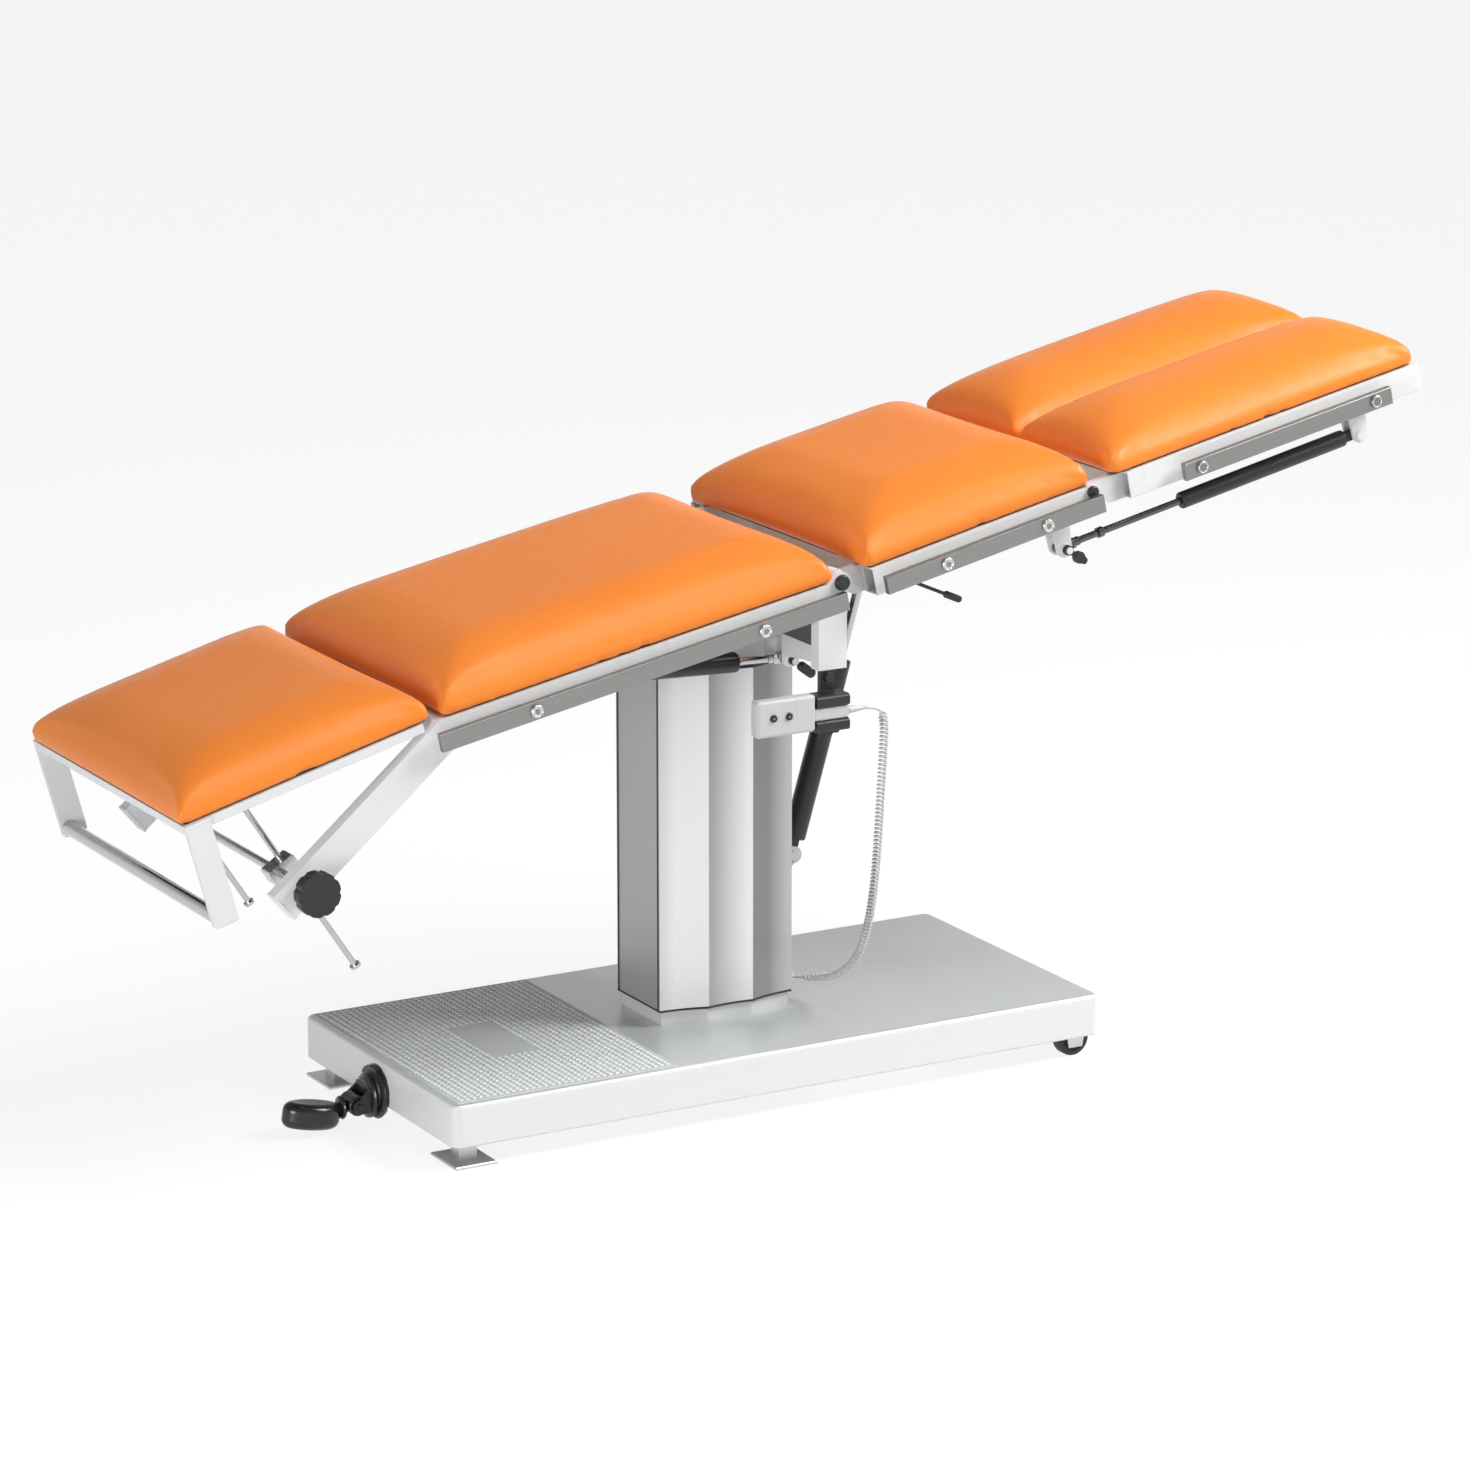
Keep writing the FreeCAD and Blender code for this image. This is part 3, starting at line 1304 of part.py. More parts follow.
def build_column():
    parts["side_panel_near"] = side_panel()
    parts["side_panel_far"] = mirrored(side_panel())
    parts["end_panels"] = end_panels()
    parts["panel_gaskets"] = panel_gaskets()
    parts["top_plate"] = top_plate()
    parts["slide_guides"] = slide_guides()
    parts["carrier"] = carrier()
    parts["main_pivot_pins"] = main_pins()
    parts["tilt_bracket"] = tilt_bracket()
    parts["handset_holder"] = handset_holder()
    parts["handset"] = handset()
    left, right = button_places()
    parts["button_down"] = handset_button(left)
    parts["button_up"] = handset_button(right)
    parts["cord_gland"] = cord_gland()
    parts["handset_cord"] = handset_cord()


def build_back():
    at = section(back_place)
    parts["back_frame"] = at(back_frame())
    parts["back_pad"] = at(pad(back_pad, -half_width, half_width, back_crown))
    parts["back_rails"] = at(group(pair(rail(*back_rail, back_screws))))
    screws = rail_screws(back_screws)
    parts["back_rail_screws"] = at(group(screws, [mirrored(s) for s in screws]))
    parts["head_arms"] = head_arms()
    head = point(back_place, *back_spring_head)
    foot = back_spring_foot
    reach = rod_length(foot, head, back_barrel_l, back_rod_in)
    parts["back_spring_rod"] = along(rod(spring_rod_r, reach, 0, True), foot, head, back_spring_y)
    parts["back_spring_barrel"] = along(barrel(back_barrel_r, back_barrel_l, spring_rod_r,
                                               back_barrel_l - 8, False), head, foot, back_spring_y)
    lever_end = (foot[0] + back_lever_run[0], foot[1] + back_lever_run[1])
    lever_y = back_spring_y - eye_t / 2 - cheek_gap - cheek_t - bolt_t - lever_gap - lever_hub_l / 2
    parts["back_release_lever"] = grip_lever(foot, lever_end, lever_y, back_grip_l, back_grip_r)


def build_seat():
    at = section(seat_place)
    parts["seat_frame"] = at(seat_frame())
    parts["seat_pad"] = at(pad(seat_pad, -half_width, half_width, seat_crown))
    parts["seat_rails"] = at(group(pair(rail(*seat_rail, seat_screws))))
    screws = rail_screws(seat_screws)
    parts["seat_rail_screws"] = at(group(screws, [mirrored(s) for s in screws]))
    parts["leg_pivot_pins"] = at(leg_pins())
    head = point(seat_place, *tilt_head)
    parts["tilt_barrel"] = along(barrel(tilt_barrel_r, tilt_barrel_l, tilt_rod_r, tilt_barrel_l - 8, True),
                                 tilt_foot, head, 0.0)
    reach = rod_length(tilt_foot, head, tilt_barrel_l, tilt_rod_in)
    parts["tilt_rod"] = along(rod(tilt_rod_r, reach, 0, False), head, tilt_foot, 0.0)
    start = point(seat_place, *seat_lever_at)
    end = (start[0] + seat_lever_run[0], start[1] + seat_lever_run[1])
    lever_y = -seat_lever_y + lever_gap + lever_hub_l / 2
    parts["seat_release_lever"] = grip_lever(start, end, lever_y, seat_grip_l, seat_grip_r)


def build_legs():
    at = section(leg_place)
    near = {"leg_frame": at(leg_frame()),
            "leg_pad": at(pad(leg_pad, -half_width, -leg_gap / 2, leg_crown)),
            "leg_rail": at(group(rail(*leg_rail, leg_screws), rail_screws(leg_screws)))}
    foot = point(seat_place, *leg_spring_foot)
    head = point(leg_place, *leg_spring_head)
    reach = rod_length(foot, head, leg_barrel_l, leg_rod_in)
    near["leg_spring_rod"] = along(rod(spring_rod_r, reach, leg_collar, True), foot, head, -leg_spring_y)
    near["leg_spring_barrel"] = along(barrel(leg_barrel_r, leg_barrel_l, spring_rod_r, leg_barrel_l - 8,
                                             False), head, foot, -leg_spring_y)
    lever_y = -leg_spring_y - eye_t / 2 - cheek_gap - cheek_t - bolt_t - lever_gap - paddle_hub_l / 2
    near["leg_release_lever"] = paddle_lever(foot, lever_y)
    for name, shape in near.items():
        parts[name + "_near"] = shape
        parts[name + "_far"] = mirrored(shape)


def build_head():
    at = section(head_place)
    parts["head_frame"] = at(head_frame_solid())
    parts["head_pad"] = at(pad(head_pad, -half_width, half_width, head_crown))
    parts["head_tube"] = at(head_tube())
    parts["head_rods"] = group(head_rods())
    parts["head_shaft"] = head_shaft()
    parts["star_knob"] = star_knob()


build_base()
build_column()
build_back()
build_seat()
build_legs()
build_head()
os.makedirs("parts", exist_ok=True)
for name, shape in parts.items():
    shape.exportStep("parts/%s.step" % name)
    lo, hi = shape.BoundBox, shape.BoundBox
    print("%-22s solids %d valid %s volume %.0f x %.0f..%.0f y %.0f..%.0f z %.0f..%.0f" % (
        name, len(shape.Solids), shape.isValid(), shape.Volume, lo.XMin, lo.XMax, lo.YMin, lo.YMax,
        lo.ZMin, lo.ZMax))
print("nodes", len(parts))
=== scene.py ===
import math

import bpy
import numpy as np
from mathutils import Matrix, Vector


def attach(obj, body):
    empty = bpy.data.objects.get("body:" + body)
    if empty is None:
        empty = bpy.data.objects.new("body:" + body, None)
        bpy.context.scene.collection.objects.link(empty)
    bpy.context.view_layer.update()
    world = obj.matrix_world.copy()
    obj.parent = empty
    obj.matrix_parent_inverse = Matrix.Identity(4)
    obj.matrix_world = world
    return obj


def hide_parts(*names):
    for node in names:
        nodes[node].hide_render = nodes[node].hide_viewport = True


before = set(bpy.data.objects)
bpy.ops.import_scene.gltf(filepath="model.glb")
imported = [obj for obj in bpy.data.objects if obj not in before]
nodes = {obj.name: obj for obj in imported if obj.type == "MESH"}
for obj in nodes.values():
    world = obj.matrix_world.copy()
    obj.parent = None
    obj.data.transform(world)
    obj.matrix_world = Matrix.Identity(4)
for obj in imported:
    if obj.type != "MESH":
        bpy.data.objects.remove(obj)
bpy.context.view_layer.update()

scene = bpy.context.scene

# Planes of the padded sections: slope in degrees, pivot x and z, height of the pads' plane above the pivot
back = dict(slope=11.0, x=0.012, z=0.7385, lift=0.004)
seat = dict(slope=12.5, x=0.012, z=0.7385, lift=0.004)
legs = dict(slope=12.3, x=0.41065, z=0.82073, lift=0.010)
head = dict(slope=15.2, x=-0.600, z=0.628, lift=0.0)


# World x and z of a section's point: u runs up the slope from the pivot, w stands square to it
def spot(plane, u, w):
    a = math.radians(plane["slope"])
    w = w + plane["lift"]
    return plane["x"] + u * math.cos(a) - w * math.sin(a), plane["z"] + u * math.sin(a) + w * math.cos(a)


# Camera, fitted to the photograph: azimuth and elevation in degrees, lens in mm
camera = dict(target=(-0.0108, 0.0, 0.473), distance=7.6143, azimuth=-29.49, elevation=14.72,
              lens=134.2, sensor=36.0, farthest=60.0)


# Camera on a sphere about its target: the direction is (sin a cos e, -cos a cos e, sin e)
def makeCamera():
    az, el = math.radians(camera["azimuth"]), math.radians(camera["elevation"])
    away = Vector((math.sin(az) * math.cos(el), -math.cos(az) * math.cos(el), math.sin(el)))
    data = bpy.data.cameras.new("camera")
    data.lens = camera["lens"]
    data.sensor_width = camera["sensor"]
    data.clip_end = camera["farthest"]
    obj = bpy.data.objects.new("camera", data)
    scene.collection.objects.link(obj)
    obj.location = Vector(camera["target"]) + away * camera["distance"]
    obj.rotation_euler = away.to_track_quat("Z", "Y").to_euler()
    scene.camera = obj


makeCamera()
print("camera ready")

# Finishes: colours are linear, as the shader takes them
colors = dict(
    orange=(0.90, 0.252, 0.030),
    orangeDeep=(0.74, 0.172, 0.018),
    white=(0.78, 0.785, 0.79),
    silver=(0.76, 0.765, 0.76),
    paleGrey=(0.62, 0.63, 0.64),
    plinth=(0.62, 0.625, 0.63),
    skirt=(0.80, 0.81, 0.81),
    # painted shade: grey of the base's upward faces
    deck=(0.72, 0.74, 0.735),
    # painted shadow of the cross beam's underside
    beam=(0.075, 0.077, 0.08),
    black=(0.012, 0.012, 0.014),
    rubber=(0.017, 0.017, 0.018),
    gaiter=(0.010, 0.010, 0.011),
    # partly painted shadow in the gap under the cushions
    board=(0.02, 0.02, 0.022),
    steel=(0.30, 0.30, 0.295),
    screw=(0.62, 0.62, 0.61),
    zinc=(0.62, 0.62, 0.62),
    chrome=(0.52, 0.52, 0.53),
    blackChrome=(0.13, 0.13, 0.135),
    panelPale=(0.82, 0.825, 0.825),
    panelEnd=(0.41, 0.42, 0.43),
    # painted shade of the column's facets that face the leg end
    panelShade=(0.24, 0.245, 0.245),
    matTop=(0.86, 0.87, 0.87),
    # painted shade of the floor between the studs
    matGapShade=(0.60, 0.62, 0.625),
    cordGrey=(0.55, 0.55, 0.53),
    handset=(0.58, 0.59, 0.58),
)


# Material with one colour, roughness and metal share, set on the shader's own sockets
def shader(name, color, roughness, metallic=0.0, specular=0.5):
    mat = bpy.data.materials.new(name)
    mat.use_nodes = True
    bsdf = mat.node_tree.nodes["Principled BSDF"]
    bsdf.inputs["Base Color"].default_value = (*color, 1.0)
    bsdf.inputs["Roughness"].default_value = roughness
    bsdf.inputs["Metallic"].default_value = metallic
    bsdf.inputs["Specular IOR Level"].default_value = specular
    return mat, mat.node_tree, bsdf


# Object coordinates turned about y by an angle, then multiplied by the scale
def coords(tree, scale=(1, 1, 1), turn=0.0):
    source = tree.nodes.new("ShaderNodeTexCoord")
    turned = tree.nodes.new("ShaderNodeVectorRotate")
    turned.rotation_type = "Y_AXIS"
    turned.inputs["Angle"].default_value = math.radians(turn)
    tree.links.new(source.outputs["Object"], turned.inputs["Vector"])
    mapped = tree.nodes.new("ShaderNodeVectorMath")
    mapped.operation = "MULTIPLY"
    mapped.inputs[1].default_value = scale
    tree.links.new(turned.outputs["Vector"], mapped.inputs[0])
    return mapped.outputs["Vector"]


# The x, y and z outputs of a texture coordinate
def axes(tree, kind="Object"):
    source = tree.nodes.new("ShaderNodeTexCoord")
    split = tree.nodes.new("ShaderNodeSeparateXYZ")
    tree.links.new(source.outputs[kind], split.inputs["Vector"])
    return split.outputs


# Component of the surface normal along a world axis
def facing(tree, axis):
    normal = tree.nodes.new("ShaderNodeNewGeometry")
    split = tree.nodes.new("ShaderNodeSeparateXYZ")
    tree.links.new(normal.outputs["Normal"], split.inputs["Vector"])
    return split.outputs[axis]


# One sum on sockets and plain numbers, such as the product or the absolute value
def reckon(tree, operation, *terms):
    node = tree.nodes.new("ShaderNodeMath")
    node.operation = operation
    for slot, term in zip(node.inputs, terms):
        if isinstance(term, float):
            slot.default_value = term
        else:
            tree.links.new(term, slot)
    return node.outputs["Value"]


# Fractal noise between 0 and 1 at a point
def noise(tree, vector, scale, detail=3.0, rough=0.5):
    node = tree.nodes.new("ShaderNodeTexNoise")
    node.inputs["Scale"].default_value = scale
    node.inputs["Detail"].default_value = detail
    node.inputs["Roughness"].default_value = rough
    tree.links.new(vector, node.inputs["Vector"])
    return node.outputs["Fac"]


# Straight line from low to high while the value goes from one number to another, held at both ends
def remap(tree, value, low, high, fromLow=0.3, fromHigh=0.7):
    node = tree.nodes.new("ShaderNodeMapRange")
    node.inputs["From Min"].default_value = fromLow
    node.inputs["From Max"].default_value = fromHigh
    node.inputs["To Min"].default_value = low
    node.inputs["To Max"].default_value = high
    tree.links.new(value, node.inputs["Value"])
    return node.outputs["Result"]


# First colour where the factor is 0, second where it is 1
def mixColor(tree, factor, first, second):
    node = tree.nodes.new("ShaderNodeMix")
    node.data_type = "RGBA"
    node.inputs["A"].default_value = (*first, 1.0)
    node.inputs["B"].default_value = (*second, 1.0)
    tree.links.new(factor, node.inputs["Factor"])
    return node.outputs["Result"]


# Normal tilted by the slope of a height, on top of another normal if one is given
def bump(tree, height, strength, distance, normal=None):
    node = tree.nodes.new("ShaderNodeBump")
    node.inputs["Strength"].default_value = strength
    node.inputs["Distance"].default_value = distance
    tree.links.new(height, node.inputs["Height"])
    if normal is not None:
        tree.links.new(normal, node.inputs["Normal"])
    return node.outputs["Normal"]


# Normal averaged over a small radius, which rounds the sharp edges of a piece
def softEdge(tree, radius):
    node = tree.nodes.new("ShaderNodeBevel")
    node.samples = 4
    node.inputs["Radius"].default_value = radius
    return node.outputs["Normal"]


# Scales are in repeats a metre, depths in metres
vinyl = dict(roughness=(0.36, 0.47), specular=0.32, drift=5.0, driftShare=0.22, gloss=60.0,
             pebbles=780.0, pebbleTilt=0.16, pebbleDepth=0.0006, sway=34.0, swayTilt=0.10, swayDepth=0.004,
             coat=0.06, coatRoughness=0.35)


# Orange leatherette: pebble cells over a soft sway, colour drifting a fifth of the way to the deep orange
def orangeVinyl():
    mat, tree, bsdf = shader("orange leatherette", colors["orange"], 0.42, specular=vinyl["specular"])
    at = coords(tree)
    drift = remap(tree, noise(tree, at, vinyl["drift"]), 0.0, vinyl["driftShare"])
    tree.links.new(mixColor(tree, drift, colors["orange"], colors["orangeDeep"]), bsdf.inputs["Base Color"])
    tree.links.new(remap(tree, noise(tree, at, vinyl["gloss"], 4.0), *vinyl["roughness"]),
                   bsdf.inputs["Roughness"])
    pebbles = tree.nodes.new("ShaderNodeTexVoronoi")
    pebbles.feature = "F1"
    pebbles.inputs["Scale"].default_value = vinyl["pebbles"]
    tree.links.new(at, pebbles.inputs["Vector"])
    sway = bump(tree, noise(tree, at, vinyl["sway"]), vinyl["swayTilt"], vinyl["swayDepth"])
    grain = bump(tree, pebbles.outputs["Distance"], vinyl["pebbleTilt"], vinyl["pebbleDepth"], sway)
    tree.links.new(grain, bsdf.inputs["Normal"])
    bsdf.inputs["Coat Weight"].default_value = vinyl["coat"]
    bsdf.inputs["Coat Roughness"].default_value = vinyl["coatRoughness"]
    return mat


paint = dict(gloss=9.0, glossLess=0.05, glossMore=0.06, peel=900.0, peelTilt=0.06, peelDepth=0.0004,
             shade=3.0, shadeTo=0.93, shadeShare=0.7)


# Powder coat: fine orange peel, gloss and colour drifting a little about their levels
def coated(name, color, roughness=0.34, radius=0.0012):
    mat, tree, bsdf = shader(name, color, roughness)
    at = coords(tree)
    gloss = noise(tree, at, paint["gloss"])
    tree.links.new(remap(tree, gloss, roughness - paint["glossLess"], roughness + paint["glossMore"]),
                   bsdf.inputs["Roughness"])
    peel = noise(tree, at, paint["peel"], 2.0)
    tree.links.new(bump(tree, peel, paint["peelTilt"], paint["peelDepth"], softEdge(tree, radius)),
                   bsdf.inputs["Normal"])
    shade = remap(tree, noise(tree, at, paint["shade"], 4.0), 0.0, paint["shadeShare"])
    darker = tuple(c * paint["shadeTo"] for c in color)
    tree.links.new(mixColor(tree, shade, color, darker), bsdf.inputs["Base Color"])
    return mat


drawn = dict(glossLess=0.07, glossMore=0.12, light=1.08, dark=0.92, scratchTilt=0.02, scratchDepth=0.0002)


# Drawn metal: noise stretched along one direction gives fine scratches in gloss, colour and height
def brushed(name, color, turn=0.0, along=(5, 1600, 1600), roughness=0.34, radius=0.0008):
    mat, tree, bsdf = shader(name, color, roughness, metallic=1.0)
    streaks = noise(tree, coords(tree, along, turn), 1.0, 4.0, 0.65)
    tree.links.new(remap(tree, streaks, roughness - drawn["glossLess"], roughness + drawn["glossMore"]),
                   bsdf.inputs["Roughness"])
    light = tuple(min(1.0, c * drawn["light"]) for c in color)
    dark = tuple(c * drawn["dark"] for c in color)
    tree.links.new(mixColor(tree, remap(tree, streaks, 0.0, 1.0), dark, light), bsdf.inputs["Base Color"])
    tree.links.new(bump(tree, streaks, drawn["scratchTilt"], drawn["scratchDepth"], softEdge(tree, radius)),
                   bsdf.inputs["Normal"])
    return mat


moulded = dict(gloss=40.0, glossLess=0.05, glossMore=0.09, grainDepth=0.0003, scuffs=14.0, scuffShare=0.5,
               lightenBlack=(1.5, 0.006), darkenPale=(0.94, 0.0))


# Moulded plastic or rubber: fine grain, and scuffs that lighten black and darken pale colours
def plastic(name, color, roughness=0.42, grainScale=1400.0, strength=0.10, radius=0.0010):
    mat, tree, bsdf = shader(name, color, roughness)
    at = coords(tree)
    gloss = noise(tree, at, moulded["gloss"])
    tree.links.new(remap(tree, gloss, roughness - moulded["glossLess"], roughness + moulded["glossMore"]),
                   bsdf.inputs["Roughness"])
    grain = noise(tree, at, grainScale, 2.0)
    tree.links.new(bump(tree, grain, strength, moulded["grainDepth"], softEdge(tree, radius)),
                   bsdf.inputs["Normal"])
    times, plus = moulded["lightenBlack"] if color[0] < 0.1 else moulded["darkenPale"]
    scuffed = tuple(c * times + plus for c in color)
    scuffs = remap(tree, noise(tree, at, moulded["scuffs"], 5.0), 0.0, moulded["scuffShare"])
    tree.links.new(mixColor(tree, scuffs, color, scuffed), bsdf.inputs["Base Color"])
    return mat


plating = dict(haze=120.0, glossLess=0.03, glossMore=0.06)


# Polished plating: mirror metal with a faint haze
def polished(name, color, roughness=0.07):
    mat, tree, bsdf = shader(name, color, roughness, metallic=1.0)
    haze = noise(tree, coords(tree), plating["haze"], 4.0)
    tree.links.new(remap(tree, haze, roughness - plating["glossLess"], roughness + plating["glossMore"]),
                   bsdf.inputs["Roughness"])
    return mat


cover = dict(share=(0.5, 0.95), metal=(0.5, 0.95), metalFull=0.55, gloss=12.0, roughness=(0.32, 0.40),
             peel=700.0, peelTilt=0.04, peelDepth=0.0004, radius=0.003)


# Silver paint of the base: pale skirt, and a more metallic deck where the surface faces up, greyer there with
# painted shade
def baseCoat():
    mat, tree, bsdf = shader("base coat", colors["white"], 0.3)
    at = coords(tree)
    up = facing(tree, "Z")
    # painted shade: faces that point up take the greyer deck colour
    deck = remap(tree, up, 0.0, 1.0, *cover["share"])
    tree.links.new(mixColor(tree, deck, colors["skirt"], colors["deck"]), bsdf.inputs["Base Color"])
    tree.links.new(remap(tree, up, 0.0, cover["metalFull"], *cover["metal"]), bsdf.inputs["Metallic"])
    tree.links.new(remap(tree, noise(tree, at, cover["gloss"], 4.0), *cover["roughness"]),
                   bsdf.inputs["Roughness"])
    peel = noise(tree, at, cover["peel"], 2.0)
    tree.links.new(bump(tree, peel, cover["peelTilt"], cover["peelDepth"], softEdge(tree, cover["radius"])),
                   bsdf.inputs["Normal"])
    return mat


sheet = dict(metallic=0.55, grain=(900, 900, 7), roughness=(0.38, 0.48), turned=(-0.14, 0.22), tilt=0.025,
             depth=0.0002)


# Silver anodised sheet: upright drawn grain, with painted shade darkening a facet as it turns toward the leg
# end
def anodised(name, pale, dark):
    mat, tree, bsdf = shader(name, pale, 0.42, metallic=sheet["metallic"])
    grain = noise(tree, coords(tree, sheet["grain"]), 1.0, 3.0, 0.6)
    tree.links.new(remap(tree, grain, *sheet["roughness"]), bsdf.inputs["Roughness"])
    # painted shade: facets facing the leg end take the darker colour
    legwardShade = remap(tree, facing(tree, "X"), 0.0, 1.0, *sheet["turned"])
    tree.links.new(mixColor(tree, legwardShade, pale, dark), bsdf.inputs["Base Color"])
    tree.links.new(bump(tree, grain, sheet["tilt"], sheet["depth"]), bsdf.inputs["Normal"])
    return mat


crossBeam = dict(halfWidth=0.214, bottom=0.639, top=0.673, edge=0.0005)


# White coat of the carrier, with a painted shadow in dark grey where a point lies within the cross beam's
# width and height
def carrierCoat():
    mat = coated("carrier coat", colors["white"])
    tree = mat.node_tree
    x, y, z = axes(tree)
    edge = crossBeam["edge"]
    width = reckon(tree, "ABSOLUTE", y)
    inside = remap(tree, width, 1.0, 0.0, crossBeam["halfWidth"] - edge, crossBeam["halfWidth"] + edge)
    above = remap(tree, z, 0.0, 1.0, crossBeam["bottom"] - edge, crossBeam["bottom"] + edge)
    below = remap(tree, z, 1.0, 0.0, crossBeam["top"] - edge, crossBeam["top"] + edge)
    # painted shadow: the dark band stands for the cross beam's shaded underside
    beam = reckon(tree, "MULTIPLY", reckon(tree, "MULTIPLY", inside, above), below)
    tree.links.new(mixColor(tree, beam, colors["white"], colors["beam"]),
                   tree.nodes["Principled BSDF"].inputs["Base Color"])
    return mat


matLevels = (0.0904, 0.0912)  # heights in metres between which the mat's floor turns into stud tops


# Tread mat rubber: pale tops of the studs, and a darker floor between them as painted shade, told apart by
# height
def treadRubber():
    mat = plastic("tread mat rubber", colors["matTop"], 0.50, 700.0, 0.10, 0.0004)
    tree = mat.node_tree
    x, y, z = axes(tree)
    # painted shade: the floor between the studs is darker
    high = remap(tree, z, 0.0, 1.0, *matLevels)
    tree.links.new(mixColor(tree, high, colors["matGapShade"], colors["matTop"]),
                   tree.nodes["Principled BSDF"].inputs["Base Color"])
    return mat


handsetGrooves = dict(x=(-0.112, -0.090, -0.067), inner=0.0003, outer=0.0016, tilt=0.6, depth=0.0006)


# Light plastic with shallow grooves: the height rises with the distance from each groove's middle
def handsetShell():
    mat = plastic("handset plastic", colors["handset"], 0.38, 1500.0, 0.05)
    tree = mat.node_tree
    x, y, z = axes(tree)
    bsdf = tree.nodes["Principled BSDF"]
    normal = bsdf.inputs["Normal"].links[0].from_socket
    for middle in handsetGrooves["x"]:
        away = reckon(tree, "ABSOLUTE", reckon(tree, "SUBTRACT", x, middle))
        height = remap(tree, away, 0.0, 1.0, handsetGrooves["inner"], handsetGrooves["outer"])
        normal = bump(tree, height, handsetGrooves["tilt"], handsetGrooves["depth"], normal)
    tree.links.new(normal, bsdf.inputs["Normal"])
    return mat


orangeSkin = orangeVinyl()
whiteCoat = coated("white powder coat", colors["white"])
silverCoat = coated("silver coat", colors["silver"], 0.30)
greyCoat = coated("pale grey coat", colors["paleGrey"], 0.38)
palePlinth = coated("plinth paint", colors["plinth"], 0.36)
blackCoat = plastic("black coat", colors["black"], 0.34, 900.0, 0.05)
blackPlastic = plastic("black moulded plastic", colors["black"], 0.40)
blackRubber = plastic("black rubber", colors["rubber"], 0.55, 500.0, 0.18)
gaiterRubber = plastic("glossy black rubber", colors["gaiter"], 0.20, 500.0, 0.03)
# near-black of the pad board, partly painted shadow for the gap under the cushions
boardGapShade = plastic("pad board", colors["board"], 0.6, 300.0, 0.2)
lightPlastic = plastic("light grey plastic", colors["handset"], 0.38, 1500.0, 0.06)
cordSkin = plastic("cord jacket", colors["cordGrey"], 0.36, 800.0, 0.03, 0.0003)
matSkin = treadRubber()
panelMetal = anodised("silver panel", colors["panelPale"], colors["panelShade"])
endMetal = anodised("silver end panel", colors["panelEnd"], colors["panelEnd"])
zincMetal = brushed("zinc plated steel", colors["zinc"], 0.0, (60, 60, 60), 0.36)
chromeMetal = polished("chrome", colors["chrome"])
darkRod = polished("black chrome", colors["blackChrome"], 0.16)
screwSteel = brushed("screw steel", colors["screw"], 0.0, (300, 300, 300), 0.26)
railBack = brushed("brushed rail back", colors["steel"], back["slope"])
railSeat = brushed("brushed rail seat", colors["steel"], seat["slope"])
railLeg = brushed("brushed rail leg", colors["steel"], legs["slope"])

dressing = {
    "base_cover": baseCoat(), "base_frame": zincMetal, "foot_plates": zincMetal,
    "castor_brackets": zincMetal, "castor_wheel_near": blackRubber, "castor_wheel_far": blackRubber,
    "pedal_rosette": blackPlastic, "foot_pedal": gaiterRubber, "inner_mast": palePlinth,
    "lift_actuator": blackCoat, "side_panel_near": panelMetal, "side_panel_far": panelMetal,
    "end_panels": endMetal, "panel_gaskets": blackRubber, "top_plate": blackCoat,
    "slide_guides": blackPlastic, "carrier": carrierCoat(), "main_pivot_pins": blackCoat,
    "tilt_bracket": greyCoat, "handset_holder": blackPlastic, "handset": handsetShell(),
    "button_down": blackPlastic, "button_up": blackPlastic, "cord_gland": lightPlastic,
    "back_frame": silverCoat, "back_rails": railBack, "back_rail_screws": screwSteel,
    "head_arms": whiteCoat, "back_spring_rod": chromeMetal, "back_spring_barrel": blackCoat,
    "back_release_lever": blackPlastic, "seat_frame": silverCoat, "seat_rails": railSeat,
    "seat_rail_screws": screwSteel, "leg_pivot_pins": blackCoat, "tilt_barrel": blackCoat,
    "tilt_rod": chromeMetal, "seat_release_lever": blackPlastic, "head_frame": whiteCoat,
    "head_tube": chromeMetal, "head_rods": chromeMetal, "head_shaft": screwSteel,
    "star_knob": blackPlastic, "leg_frame_near": silverCoat, "leg_frame_far": silverCoat,
    "leg_rail_near": railLeg, "leg_rail_far": railLeg, "leg_spring_rod_near": darkRod,
    "leg_spring_rod_far": darkRod, "leg_spring_barrel_near": blackCoat,
    "leg_spring_barrel_far": blackCoat, "leg_release_lever_near": blackPlastic,
    "leg_release_lever_far": blackPlastic,
}
creases = dict(cad=32, lathe=50, screw=30)  # degrees past which an edge stays sharp


# A carried-over part takes one finish, with its rounds smooth and its edges sharp
def dress(name, mat):
    mesh = nodes[name].data
    mesh.materials.clear()
    mesh.materials.append(mat)
    mesh.shade_smooth()
    mesh.set_sharp_from_angle(angle=math.radians(creases["cad"]))


for nodeName, finish in dressing.items():
    dress(nodeName, finish)
print("materials ready")


# Array of points and list of faces made into an object at the origin
def meshPiece(name, points, faces, mat, smooth=True):
    mesh = bpy.data.meshes.new(name)
    mesh.from_pydata(points.tolist(), [], faces)
    mesh.validate()
    mesh.update()
    mesh.materials.append(mat)
    obj = bpy.data.objects.new(name, mesh)
    scene.collection.objects.link(obj)
    if smooth:
        mesh.shade_smooth()
    return obj


# Coordinates of a mesh's points as rows of x, y, z
def pointsOf(mesh):
    flat = np.empty(len(mesh.vertices) * 3)
    mesh.vertices.foreach_get("co", flat)
    return flat.reshape(-1, 3)


# Quads of a grid: each takes point (i, j), the next one along, and the two above them
def gridFaces(rows, cols, closed=False):
    i, j = np.meshgrid(np.arange(rows - 1), np.arange(cols if closed else cols - 1), indexing="ij")
    here, after = i * cols + j, i * cols + (j + 1) % cols
    return np.stack([here, after, after + cols, here + cols], axis=-1).reshape(-1, 4)


